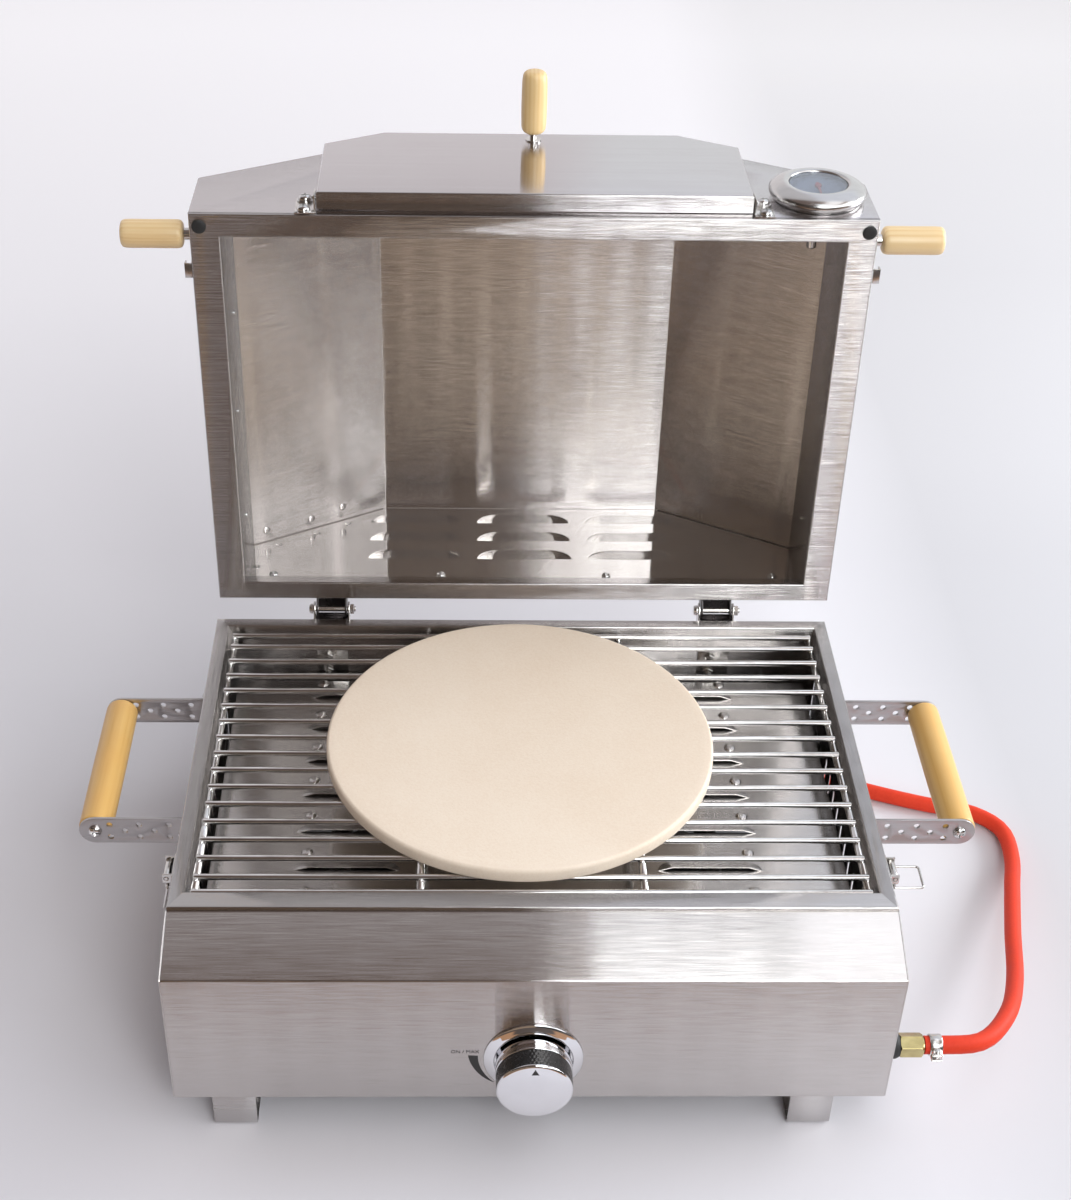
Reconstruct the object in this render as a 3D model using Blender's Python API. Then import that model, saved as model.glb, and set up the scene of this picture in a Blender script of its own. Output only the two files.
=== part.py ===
"""Table-top gas grill with a hinged pizza oven hood, standing open.

All shape numbers below are in millimetres in a drafting frame: x to the right, y from the
front edge of the cooking rim towards the back, z from the top of the rim upwards.
Hood pieces are drafted in hood coordinates (x, v, w): v runs from the hinge edge of the hood's
mouth to its front edge, w from the mouth plane to the roof. place() turns either into metres.
"""

import math

import bmesh
import bpy
from mathutils import Matrix, Vector

for old in list(bpy.data.objects):
    bpy.data.objects.remove(old, do_unlink=True)

# ------------------------------------------------------------------ driving dimensions (mm)
RIM_W, RIM_D, RIM_H = 525.0, 350.0, 178.0
BODY_W = 527.0
SHEET = 1.0
BODY_BOTTOM = -145.7
SLOPE_RUN, SLOPE_DROP = 50.5, 21.9
RIM_SIDE, RIM_FRONT, RIM_BACK = 11.0, 16.0, 10.5
RIM_RETURN = 25.0
SIDE_X = 262.2                      # outer face of the side panels

ROD_R, ROD_Z, ROD_PITCH = 2.0, -5.0, 19.95
BAR_R, BAR_Z = 2.5, -8.8
GRATE_MID = 176.5
STONE_R, STONE_T, STONE_X, STONE_Y = 152.5, 12.0, -6.0, 180.0

HINGE_Y, HINGE_Z = 361.0, 2.8
HINGE_X = (-164.5, 168.5)
LID_OPEN = math.radians(91.2)
LID_DX = 2.0                        # the hood sits this far to the right in its hinges
LID_BACK_Y, LID_GAP = 349.82, 1.57  # closed: hinge edge of the mouth, and its height over the rim
HOOD_W, HOOD_D, HOOD_H, HOOD_SIDE, HOOD_ROOF = 525.0, 350.0, 149.0, 71.5, 250.0
HOOD_T = 1.2
MOUTH_SIDE, MOUTH_REAR, MOUTH_FRONT = 23.0, 16.5, 18.5

KNOB_X, KNOB_Z, PANEL_Y = 0.7, -102.0, -50.5
KNOB_OUT = 33.0
INLET_Y, INLET_Z = -38.0, -102.5
HOSE_R = 6.8
LATCH_Y = 47.5


def hood(x, v, w):
    """Hood coordinates to the drafting frame, with the hood swung open."""
    dy = LID_BACK_Y - v - HINGE_Y
    dz = LID_GAP + w - HINGE_Z
    c, s = math.cos(-LID_OPEN), math.sin(-LID_OPEN)
    return (x + LID_DX, HINGE_Y + dy * c - dz * s, HINGE_Z + dy * s + dz * c)


FRONT_TIP = PANEL_Y - KNOB_OUT
BACK_TIP = hood(0, HOOD_D, HOOD_H)[1]
MID_Y = (FRONT_TIP + BACK_TIP) / 2


def place(p):
    """Drafting frame, mm, to the part's own frame, m: origin on the floor under its middle."""
    return Vector((p[0] * 0.001, (p[1] - MID_Y) * 0.001, (p[2] + RIM_H) * 0.001))


def flat(x, y, z):
    return (x, y, z)


# ------------------------------------------------------------------ materials
def material(name, colour, roughness, metallic, alpha=1.0):
    m = bpy.data.materials.new(name)
    m.use_nodes = True
    b = m.node_tree.nodes["Principled BSDF"]
    b.inputs["Base Color"].default_value = (*colour, 1.0)
    b.inputs["Roughness"].default_value = roughness
    b.inputs["Metallic"].default_value = metallic
    b.inputs["Alpha"].default_value = alpha
    m.diffuse_color = (*colour, alpha)
    return m


LOOK = {
    "steel": ((0.62, 0.60, 0.58), 0.32, 1.0, 1.0),
    "bright_steel": ((0.74, 0.73, 0.72), 0.2, 1.0, 1.0),
    "dark_steel": ((0.42, 0.40, 0.39), 0.38, 1.0, 1.0),
    "chrome": ((0.8, 0.8, 0.82), 0.06, 1.0, 1.0),
    "wood": ((0.83, 0.55, 0.24), 0.45, 0.0, 1.0),
    "stone": ((0.82, 0.70, 0.53), 0.85, 0.0, 1.0),
    "brass": ((0.60, 0.50, 0.24), 0.3, 1.0, 1.0),
    "hose": ((0.80, 0.14, 0.06), 0.45, 0.0, 1.0),
    "rubber": ((0.03, 0.03, 0.03), 0.7, 0.0, 1.0),
    "ceramic": ((0.85, 0.83, 0.78), 0.4, 0.0, 1.0),
    "glass": ((0.75, 0.80, 0.86), 0.05, 0.0, 0.35),
    "red_paint": ((0.62, 0.05, 0.04), 0.4, 0.0, 1.0),
    "cast": ((0.36, 0.36, 0.37), 0.45, 1.0, 1.0),
}


# ------------------------------------------------------------------ small mesh kit
def faces_from(rings, close_rings, cap):
    """A mesh from rings of points: quads between rings, caps on the first and last."""
    bm = bmesh.new()
    vs = [[bm.verts.new(p) for p in ring] for ring in rings]
    n = len(rings[0])
    pairs = list(zip(vs, vs[1:])) + ([(vs[-1], vs[0])] if close_rings else [])
    for a, b in pairs:
        for i in range(n):
            j = (i + 1) % n
            bm.faces.new((a[i], a[j], b[j], b[i]))
    if cap and not close_rings:
        bm.faces.new(vs[0])
        bm.faces.new(vs[-1])
    return bm


def box(x0, x1, y0, y1, z0, z1):
    ring = [(x0, y0), (x1, y0), (x1, y1), (x0, y1)]
    return faces_from([[(x, y, z0) for x, y in ring], [(x, y, z1) for x, y in ring]], False, True)


def prism(outline, axis, a0, a1):
    """A closed outline carried from a0 to a1 along axis. The outline is (y, z), (x, z) or (x, y)."""
    def at(p, a):
        return {"x": (a, p[0], p[1]), "y": (p[0], a, p[1]), "z": (p[0], p[1], a)}[axis]
    return faces_from([[at(p, a0) for p in outline], [at(p, a1) for p in outline]], False, True)


def frame_of(axis):
    axis = Vector(axis).normalized()
    side = axis.cross(Vector((0, 0, 1)))
    if side.length < 0.1:
        side = axis.cross(Vector((0, 1, 0)))
    side.normalize()
    return axis, side, axis.cross(side)


def rod(a, b, r, sides, turn=0.5):
    a, b = Vector(a), Vector(b)
    _, s, t = frame_of(b - a)
    def ring(c):
        return [c + r * (math.cos(k) * s + math.sin(k) * t)
                for k in (2 * math.pi * (i + turn) / sides for i in range(sides))]
    return faces_from([ring(a), ring(b)], False, True)


def turned(profile, base, axis, sides):
    """A turned piece. profile is (radius, height); if it ends on the axis it is a solid, else a ring."""
    base = Vector(base)
    axis, s, t = frame_of(axis)
    bm = bmesh.new()
    on_axis = profile[0][0] == 0
    rows = []
    for r, h in profile:
        c = base + axis * h
        if r == 0:
            rows.append([bm.verts.new(c)])
        else:
            rows.append([bm.verts.new(c + r * (math.cos(k) * s + math.sin(k) * t))
                         for k in (2 * math.pi * (i + 0.5) / sides for i in range(sides))])
    pairs = list(zip(rows, rows[1:])) + ([] if on_axis else [(rows[-1], rows[0])])
    for a, b in pairs:
        for i in range(sides):
            j = (i + 1) % sides
            if len(a) == 1:
                bm.faces.new((a[0], b[j], b[i]))
            elif len(b) == 1:
                bm.faces.new((a[i], a[j], b[0]))
            else:
                bm.faces.new((a[i], a[j], b[j], b[i]))
    return bm


def wire(points, r, sides, closed=False):
    """A round wire along points, with its corners mitred."""
    pts = [Vector(p) for p in points]
    n = len(pts)
    rings, last = [], None
    for i, p in enumerate(pts):
        before = pts[i - 1] if (i or closed) else None
        after = pts[(i + 1) % n] if (i < n - 1 or closed) else None
        d0 = (p - before).normalized() if before is not None else None
        d1 = (after - p).normalized() if after is not None else None
        d0, d1 = d0 or d1, d1 or d0
        tangent = (d0 + d1).normalized()
        if last is None:
            _, s, t = frame_of(tangent)
        else:
            s = last - tangent * last.dot(tangent)
            s.normalize()
            t = tangent.cross(s)
        last = s
        stretch = 1 / max(0.5, tangent.dot(d0))
        bend = d1 - d0
        ring = []
        for k in range(sides):
            a = 2 * math.pi * (k + 0.5) / sides
            off = r * (math.cos(a) * s + math.sin(a) * t)
            if bend.length > 1e-6:
                b = bend.normalized()
                off += b * off.dot(b) * (stretch - 1)
            ring.append(p + off)
        rings.append(ring)
    return faces_from(rings, closed, True)


def folded(path, t):
    """Outline of a sheet of thickness t folded along path, the sheet lying to the path's right."""
    out = [Vector(p) for p in path]
    inner = []
    for i, p in enumerate(out):
        d0 = (p - out[i - 1]).normalized() if i else (out[1] - p).normalized()
        d1 = (out[i + 1] - p).normalized() if i < len(out) - 1 else d0
        n0, n1 = Vector((d0.y, -d0.x)), Vector((d1.y, -d1.x))
        inner.append(p + (n0 + n1) / (1 + n0.dot(n1)) * t)
    return [tuple(p) for p in out] + [tuple(p) for p in reversed(inner)]


def picture_frame(profile, x0, x1, y0, y1, left, right, front, back):
    """A rectangular frame. profile is (share of the side's width, extra inset, height)."""
    rings = []
    for f, d, h in profile:
        rings.append([(x0 + f * left + d, y0 + f * front + d, h), (x1 - f * right - d, y0 + f * front + d, h),
                      (x1 - f * right - d, y1 - f * back - d, h), (x0 + f * left + d, y1 - f * back - d, h)])
    return faces_from(rings, True, False)


def capsule(cx, cy, length, width, steps=4, upright=False):
    """Outline of a slot with round ends."""
    r = width / 2
    pts = []
    for side in (1, -1):
        for i in range(steps + 1):
            a = -math.pi / 2 + math.pi * i / steps
            pts.append((side * ((length / 2 - r) + r * math.cos(a)), side * r * math.sin(a)))
    return [(cx + q, cy + p) if upright else (cx + p, cy + q) for p, q in pts]


def circle(cx, cy, r, sides):
    return [(cx + r * math.cos(2 * math.pi * i / sides), cy + r * math.sin(2 * math.pi * i / sides)) for i in range(sides)]


def merged(parts):
    bm = bmesh.new()
    for p in parts:
        tmp = bpy.data.meshes.new("tmp")
        p.to_mesh(tmp)
        bm.from_mesh(tmp)
        bpy.data.meshes.remove(tmp)
        p.free()
    return bm


def as_object(bm):
    bmesh.ops.recalc_face_normals(bm, faces=bm.faces)
    me = bpy.data.meshes.new("tmp")
    bm.to_mesh(me)
    bm.free()
    ob = bpy.data.objects.new("tmp", me)
    bpy.context.scene.collection.objects.link(ob)
    return ob


def boolean(bm, other, operation):
    a, b = as_object(bm), as_object(other)
    m = a.modifiers.new("cut", "BOOLEAN")
    m.object, m.operation, m.solver = b, operation, "EXACT"
    bpy.context.view_layer.update()
    graph = bpy.context.evaluated_depsgraph_get()
    me = bpy.data.meshes.new_from_object(a.evaluated_get(graph))
    out = bmesh.new()
    out.from_mesh(me)
    for ob in (a, b):
        data = ob.data
        bpy.data.objects.remove(ob, do_unlink=True)
        bpy.data.meshes.remove(data)
    bpy.data.meshes.remove(me)
    return out


def joined(first, *more):
    for bm in more:
        first = boolean(first, bm, "UNION")
    return first


def cut(bm, *cutters):
    return boolean(bm, merged(list(cutters)), "DIFFERENCE")


def solid(name, bm, look, where=flat, origin=None, parent=None, sharp=32):
    """Turns a drafted mesh into a named object in metres, its origin at the given drafted point."""
    home = place(origin) if origin else Vector((0, 0, 0))
    for v in bm.verts:
        v.co = place(where(*v.co)) - home
    bmesh.ops.remove_doubles(bm, verts=bm.verts, dist=1e-6)
    bmesh.ops.recalc_face_normals(bm, faces=bm.faces)
    me = bpy.data.meshes.new(name)
    bm.to_mesh(me)
    bm.free()
    me.shade_smooth()
    me.set_sharp_from_angle(angle=math.radians(sharp))
    me.materials.append(material(name, *LOOK[look]))
    ob = bpy.data.objects.new(name, me)
    bpy.context.scene.collection.objects.link(ob)
    ob.location = home
    if parent is not None:
        ob.parent = parent
        ob.matrix_parent_inverse = Matrix.Translation(-parent.location)
    return ob


def pivot(name, p):
    e = bpy.data.objects.new(name, None)
    e.empty_display_size = 0.02
    e.location = place(p)
    bpy.context.scene.collection.objects.link(e)
    return e


# ------------------------------------------------------------------ base: folded panels
for name, s in (("left", -1), ("right", 1)):
    # upright sheet with a lip folded inwards along the bottom, and a row of upright air slots
    wall = folded([(SIDE_X, -3.3), (SIDE_X, BODY_BOTTOM), (SIDE_X - 14, BODY_BOTTOM)], SHEET)
    panel = prism(wall, "y", 0.5, 349.9)
    slots = [prism(capsule(105 + 20 * i, -100, 30, 5, 3, upright=True), "x", SIDE_X - 5, SIDE_X + 5) for i in range(9)]
    panel = cut(panel, *slots)
    if s < 0:
        for v in panel.verts:
            v.co.x = -v.co.x
    solid(f"base_{name}_side_panel", panel, "steel")

back = folded([(349.9, -3.3), (349.9, BODY_BOTTOM), (335.9, BODY_BOTTOM)], SHEET)
back = prism(back, "x", -247.0, 247.0)
back = joined(back, box(-260.9, 260.9, 349.0, 349.8, -144.0, -3.4))
solid("base_rear_panel", back, "steel")

floor_slots = [prism(capsule(x, y, 60, 8, 3), "z", -150, -140) for x in (-170, -85, 0, 85, 170) for y in (120, 240)]
solid("base_bottom_panel", cut(box(-260.9, 260.9, -49.2, 348.7, -144.4, -143.4), *floor_slots), "steel")

# one folded front sheet: tab under the rim, sloping band, upright face, bottom lip; side cheeks close its ends
path = [(12, -3.3), (0, -3.3), (-SLOPE_RUN, -SLOPE_DROP), (-SLOPE_RUN, BODY_BOTTOM), (-36, BODY_BOTTOM)]
face = folded([(p[0], p[1]) for p in reversed(path)], SHEET)
front = prism(face, "x", -263.1, 263.1)
cheek = [(12, -3.5), (0.1, -3.5), (-50.3, -22.05), (-50.3, -145.5), (12, -145.5)]
front = joined(front, prism(cheek, "x", 262.5, BODY_W / 2), prism(cheek, "x", -BODY_W / 2, -262.5))
front = cut(front, box(260.9, 262.45, 0.2, 13, -5, -3), box(-262.45, -260.9, 0.2, 13, -5, -3),
            rod((KNOB_X, -60, KNOB_Z), (KNOB_X, -40, KNOB_Z), 7.0, 20),
            rod((255, INLET_Y, INLET_Z), (270, INLET_Y, INLET_Z), 8.2, 20))
solid("base_front_panel", front, "steel")

# cooking rim: flat top, short skirt outside, deep return inside, four small rests for the grate
rim = picture_frame([(0, 0, -3), (0, 0, 0), (1, 0, 0), (1, 0, -RIM_RETURN), (1, -1, -RIM_RETURN),
                     (1, -1, -1.2), (0, 1, -1.2), (0, 1, -3)],
                    -RIM_W / 2, RIM_W / 2, 0, RIM_D, RIM_SIDE, RIM_SIDE, RIM_FRONT, RIM_BACK)
rests = [box(min(a, b), max(a, b), y, y + 8, -12.5, -11.25)
         for a, b in ((-252.0, -243.0), (243.0, 252.0)) for y in (25, 321)]
solid("base_rim_frame", joined(rim, *rests), "steel")

# feet: a strap folded into a box with open sides
foot = folded([(10, 32), (0, 32), (0, 3), (0.9, 0.9), (3, 0), (27, 0), (29.1, 0.9), (30, 3), (30, 32), (20, 32)][::-1], 1.5)
for name, x0, y0 in (("front_left", -235.5, -48.5), ("front_right", 193.5, -48.5),
                     ("rear_left", -235.5, 318.0), ("rear_right", 193.5, 318.0)):
    solid(f"foot_{name}", prism([(y0 + a, -RIM_H + b) for a, b in foot], "x", x0, x0 + 32), "steel")

# ------------------------------------------------------------------ burner side
# flame tamer: slotted plate under the grate, front and back edges folded down, four strap legs
tamer = prism(folded([(22, -66), (22, -50), (328, -50), (328, -66)], SHEET), "x", -245, 245)
legs = [box(min(a, b), max(a, b), y, y + 0.8, -143.1, -60) for a, b in ((-244, -226), (226, 244)) for y in (22.1, 327.1)]
tamer = joined(tamer, *legs)
tamer = cut(tamer, *[prism(capsule(x, 53.5 + 42.5 * i, 79, 5, 3), "z", -55, -45) for x in (-140, 0, 140) for i in range(7)])
solid("flame_tamer", tamer, "steel")

loop = []
for cx, cy, a0 in ((150, 260, 0), (-150, 260, 90), (-150, 90, 180), (150, 90, 270)):
    for i in range(4):
        a = math.radians(a0 + 30 * i)
        loop.append((cx + 20 * math.cos(a) - (20 if cx > 0 else -20), cy + 20 * math.sin(a) - (20 if cy > 100 else -20), KNOB_Z))
burner = wire(loop, 9, 10, closed=True)
burner = joined(burner, rod((KNOB_X, -15.5, KNOB_Z), (KNOB_X, 92, KNOB_Z), 8, 12), rod((KNOB_X, -15, KNOB_Z), (KNOB_X, 12, KNOB_Z), 11, 12),
                *[box(x - 7, x + 7, y - 0.8, y + 0.8, -143.1, KNOB_Z - 3) for x, y in ((-90, 90), (90, 90), (0, 260))])
solid("main_burner", burner, "dark_steel")

valve = joined(box(-12, 13.4, -46, -20, -115, -89), rod((KNOB_X, -53, KNOB_Z), (KNOB_X, -45, KNOB_Z), 6, 16),
               rod((KNOB_X, -21, KNOB_Z), (KNOB_X, -16, KNOB_Z), 3, 12))
valve = cut(valve, rod((KNOB_X, -60, KNOB_Z), (KNOB_X, -36, KNOB_Z), 4.4, 16))
solid("gas_valve_body", valve, "brass")

solid("gas_inlet_pipe", rod((13.7, INLET_Y, INLET_Z), (269.4, INLET_Y, INLET_Z), 5.0, 16), "brass")

spark = turned([(0, 0), (3.2, 0), (3.2, 28), (0.9, 29), (0.9, 40), (0, 40)], (30, 72, -128), (0, 0, 1), 12)
solid("igniter_electrode", joined(spark, box(26.5, 33.5, 71.4, 72.6, -143.1, -124)), "ceramic")

# ------------------------------------------------------------------ gas inlet on the right cheek, hose and regulator
grommet = [(5.4, -2.6), (7.9, -2.6), (7.9, 1.4), (10, 1.4), (10, 4.6), (8.6, 6.9), (5.4, 6.9)]
solid("gas_inlet_grommet", turned(grommet, (262.4, INLET_Y, INLET_Z), (1, 0, 0), 16), "rubber")
nut = turned([(0, 0), (8.4, 0), (9.2, 1.2), (9.2, 15.4), (8.4, 16.6), (0, 16.6)], (269.7, INLET_Y, INLET_Z), (1, 0, 0), 6)
solid("gas_inlet_nut", joined(nut, rod((284, INLET_Y, INLET_Z), (288, INLET_Y, INLET_Z), 6.2, 12)), "brass", sharp=20)
band = turned([(7.4, 0), (8.4, 0), (8.4, 9), (7.4, 9)], (291.6, INLET_Y, INLET_Z), (1, 0, 0), 20)
solid("hose_clamp", joined(band, box(292.3, 299.9, INLET_Y - 12.6, INLET_Y - 7.7, INLET_Z - 4.5, INLET_Z + 5.5)), "bright_steel")

# the hose: out to the right, down to the floor, back, and round behind the base to its regulator
HOSE_Z = -RIM_H + HOSE_R
ROUTE = [(288.3, INLET_Y, INLET_Z), (304, INLET_Y, INLET_Z), (333, -32, -106), (361, 1, -114), (380.5, 48, -128),
         (398.5, 118, -146), (417, 188, -161), (429, 236, -169), (428, 272, HOSE_Z), (405, 294, HOSE_Z),
         (372, 303, HOSE_Z), (345.6, 312, HOSE_Z), (320.7, 321.5, HOSE_Z), (283, 337, HOSE_Z), (236, 356, HOSE_Z),
         (175, 378, HOSE_Z), (95, 398, HOSE_Z), (10, 409, HOSE_Z), (-70, 413, HOSE_Z)]


def smooth_route(points, step):
    """A smooth curve through the route's points, read every step mm."""
    pts = [Vector(p) for p in points]
    ext = [2 * pts[0] - pts[1], *pts, 2 * pts[-1] - pts[-2]]
    fine = []
    for i in range(1, len(ext) - 2):
        p0, p1, p2, p3 = ext[i - 1:i + 3]
        t0, t1 = 0.0, (p1 - p0).length ** 0.5
        t2 = t1 + (p2 - p1).length ** 0.5
        t3 = t2 + (p3 - p2).length ** 0.5
        for k in range(40):
            t = t1 + (t2 - t1) * k / 40
            a1 = (t1 - t) / (t1 - t0) * p0 + (t - t0) / (t1 - t0) * p1
            a2 = (t2 - t) / (t2 - t1) * p1 + (t - t1) / (t2 - t1) * p2
            a3 = (t3 - t) / (t3 - t2) * p2 + (t - t2) / (t3 - t2) * p3
            b1 = (t2 - t) / (t2 - t0) * a1 + (t - t0) / (t2 - t0) * a2
            b2 = (t3 - t) / (t3 - t1) * a2 + (t - t1) / (t3 - t1) * a3
            fine.append((t2 - t) / (t2 - t1) * b1 + (t - t1) / (t2 - t1) * b2)
    fine.append(pts[-1])
    for _ in range(60):
        fine = [fine[0]] + [(fine[i - 1] + 2 * fine[i] + fine[i + 1]) / 4 for i in range(1, len(fine) - 1)] + [fine[-1]]
    total = sum((b - a).length for a, b in zip(fine, fine[1:]))
    count = max(2, round(total / step))
    out, walked, target = [fine[0]], 0.0, total / count
    for a, b in zip(fine, fine[1:]):
        leg = (b - a).length
        while walked + leg >= target and len(out) < count:
            out.append(a + (b - a) * ((target - walked) / leg))
            target += total / count
        walked += leg
    return out + [fine[-1]]


curve = bpy.data.curves.new("gas_hose", "CURVE")
curve.dimensions = "3D"
curve.bevel_depth = HOSE_R * 0.001
curve.bevel_resolution = 3
curve.use_fill_caps = True
line = curve.splines.new("POLY")
hose_points = smooth_route(ROUTE, 24)
line.points.add(len(hose_points) - 1)
for pt, p in zip(line.points, hose_points):
    pt.co = (*place((p.x, p.y, max(p.z, HOSE_Z))), 1)
curve.materials.append(material("gas_hose", *LOOK["hose"]))
hose = bpy.data.objects.new("gas_hose", curve)
bpy.context.scene.collection.objects.link(hose)

end = hose_points[-1]
way = (end - hose_points[-2]).normalized()
way = Vector((way.x, way.y, 0)).normalized()
reg = [(0, -14), (24, -14), (27, -11), (28, -5), (28, 1), (25.5, 5), (19, 8), (17, 11.5), (0, 11.5)]
start = end + way * 0.3
middle = end + way * 42
outlet = middle + Vector((0, 0, 7.2))
regulator = joined(turned(reg, (middle.x, middle.y, -RIM_H + 14.2), (0, 0, 1), 28),
                   rod(start, middle, 5.6, 12),
                   rod(outlet, outlet + way * 44, 6.5, 12),
                   turned([(0, 0), (12, 0), (13.5, 1.5), (13.5, 14), (12, 15.5), (0, 15.5)], outlet + way * 33, way, 8))
solid("gas_regulator", regulator, "cast")

# ------------------------------------------------------------------ knob
bezel = [(7.6, 0.3), (35.8, 0.3), (36.3, 0.8), (36.3, 1.4), (29.4, 3.8), (28.8, 3.6), (28.6, 1.5), (7.6, 1.5)]
solid("knob_bezel", turned(bezel, (KNOB_X, PANEL_Y, KNOB_Z), (0, -1, 0), 40), "chrome")
knob_seat = pivot("knob_axis", (KNOB_X, PANEL_Y, KNOB_Z))
solid("valve_stem", rod((KNOB_X, -41, KNOB_Z), (KNOB_X, -76, KNOB_Z), 4.0, 16), "brass",
      origin=(KNOB_X, PANEL_Y, KNOB_Z), parent=knob_seat)
knob = [(0, 27), (4.3, 27), (4.3, 6.4), (27.2, 6.4), (27.9, 7.0), (27.9, 15.2), (27.4, 15.7), (27.4, 29.6), (27.7, 30.2),
        (27.0, 32.0), (25.4, KNOB_OUT), (0, KNOB_OUT)]
solid("control_knob", turned(knob, (KNOB_X, PANEL_Y, KNOB_Z), (0, -1, 0), 40), "chrome",
      origin=(KNOB_X, PANEL_Y, KNOB_Z), parent=knob_seat)

# ------------------------------------------------------------------ carry handles
ARM_Z, ARM_H, GRIP_X = -20.7, 24.2, 331.0
for side, s in (("left", -1), ("right", 1)):
    for end_name, y0, y1, fy0, fy1 in (("front", 103.0, 105.0, 88.0, 104.0), ("rear", 248.5, 250.5, 249.5, 265.5)):
        half = ARM_H / 2
        outline = [(262.6, ARM_Z - half), (GRIP_X, ARM_Z - half)]
        outline += [(GRIP_X + half * math.cos(a), ARM_Z + half * math.sin(a))
                    for a in (-math.pi / 2 + math.pi * i / 12 for i in range(1, 12))]
        outline += [(GRIP_X, ARM_Z + half), (262.6, ARM_Z + half)]
        arm = joined(prism(outline, "y", y0, y1), box(262.5, 264.5, fy0, fy1, ARM_Z - half + 0.1, ARM_Z + half - 0.1))
        holes = [(319.6, 6.1), (319.6, -6.1), (308.4, 0), (297.2, 6.1), (297.2, -6.1), (286.0, 0), (274.6, 6.1), (274.6, -6.1)]
        arm = cut(arm, *[prism(circle(x, ARM_Z + dz, 2.5, 10), "y", y0 - 3, y1 + 3) for x, dz in holes])
        if s < 0:
            for v in arm.verts:
                v.co.x = -v.co.x
        solid(f"side_handle_arm_{side}_{end_name}", arm, "steel")
    grip = [(0, 0), (11.6, 0), (12.75, 1.3), (12.75, 141.6), (11.6, 142.9), (0, 142.9)]
    solid(f"side_handle_grip_{side}", turned(grip, (s * GRIP_X, 105.3, ARM_Z), (0, 1, 0), 24), "wood")

# ------------------------------------------------------------------ hinges
def bent_ears(ear, web, x_in, x_out):
    """A U bracket: two equal ears at x_in..x_out each side and a web between them."""
    return joined(prism(ear, "x", x_in, x_out), prism(ear, "x", -x_out, -x_in), web)


base_ear = [(350.2, -24), (357, -24), (366.3, -9), (366.3, 6), (363.6, 8.6), (358.2, 8.6), (355.6, 5.6), (355.4, -2), (350.2, -3)]
lid_ear = [(-0.4, 3.0), (-0.4, 26), (-6, 26), (-17, 9), (-17, -1.6), (-14.2, -4.3), (-8.2, -4.3), (-5.6, -1.2)]
axis_v, axis_w = LID_BACK_Y - HINGE_Y, HINGE_Z - LID_GAP
for side, cx in (("left", HINGE_X[0]), ("right", HINGE_X[1])):
    b = bent_ears(base_ear, box(-15, 15, 350.2, 351.6, -23.9, -3.1), 14.0, 15.5)
    b = cut(b, rod((-30, HINGE_Y, HINGE_Z), (30, HINGE_Y, HINGE_Z), 2.8, 16))
    solid(f"hinge_base_bracket_{side}", b, "dark_steel", where=lambda x, y, z, c=cx: (x + c, y, z))
    b = bent_ears(lid_ear, box(-12.5, 12.5, -1.8, -0.4, 3.1, 25.9), 11.5, 13.0)
    b = joined(b, box(-12.4, 12.4, -16.4, -0.6, 8.4, 9.8))
    b = cut(b, rod((-30, axis_v, axis_w), (30, axis_v, axis_w), 2.8, 16))
    solid(f"hinge_lid_bracket_{side}", b, "dark_steel", where=lambda x, v, w, c=cx: hood(x + c - LID_DX, v, w),
          origin=(cx, HINGE_Y, HINGE_Z))
    bolt = [(0, -19.6), (3.2, -19.6), (4.4, -18.2), (4.4, -15.9), (2.5, -15.9), (2.5, 15.9), (4.4, 15.9), (4.4, 19.2), (2.6, 19.2), (2.3, 20.6), (0, 20.6)]
    solid(f"hinge_bolt_{side}", turned(bolt, (cx, HINGE_Y, HINGE_Z), (1, 0, 0), 12), "bright_steel")

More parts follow.
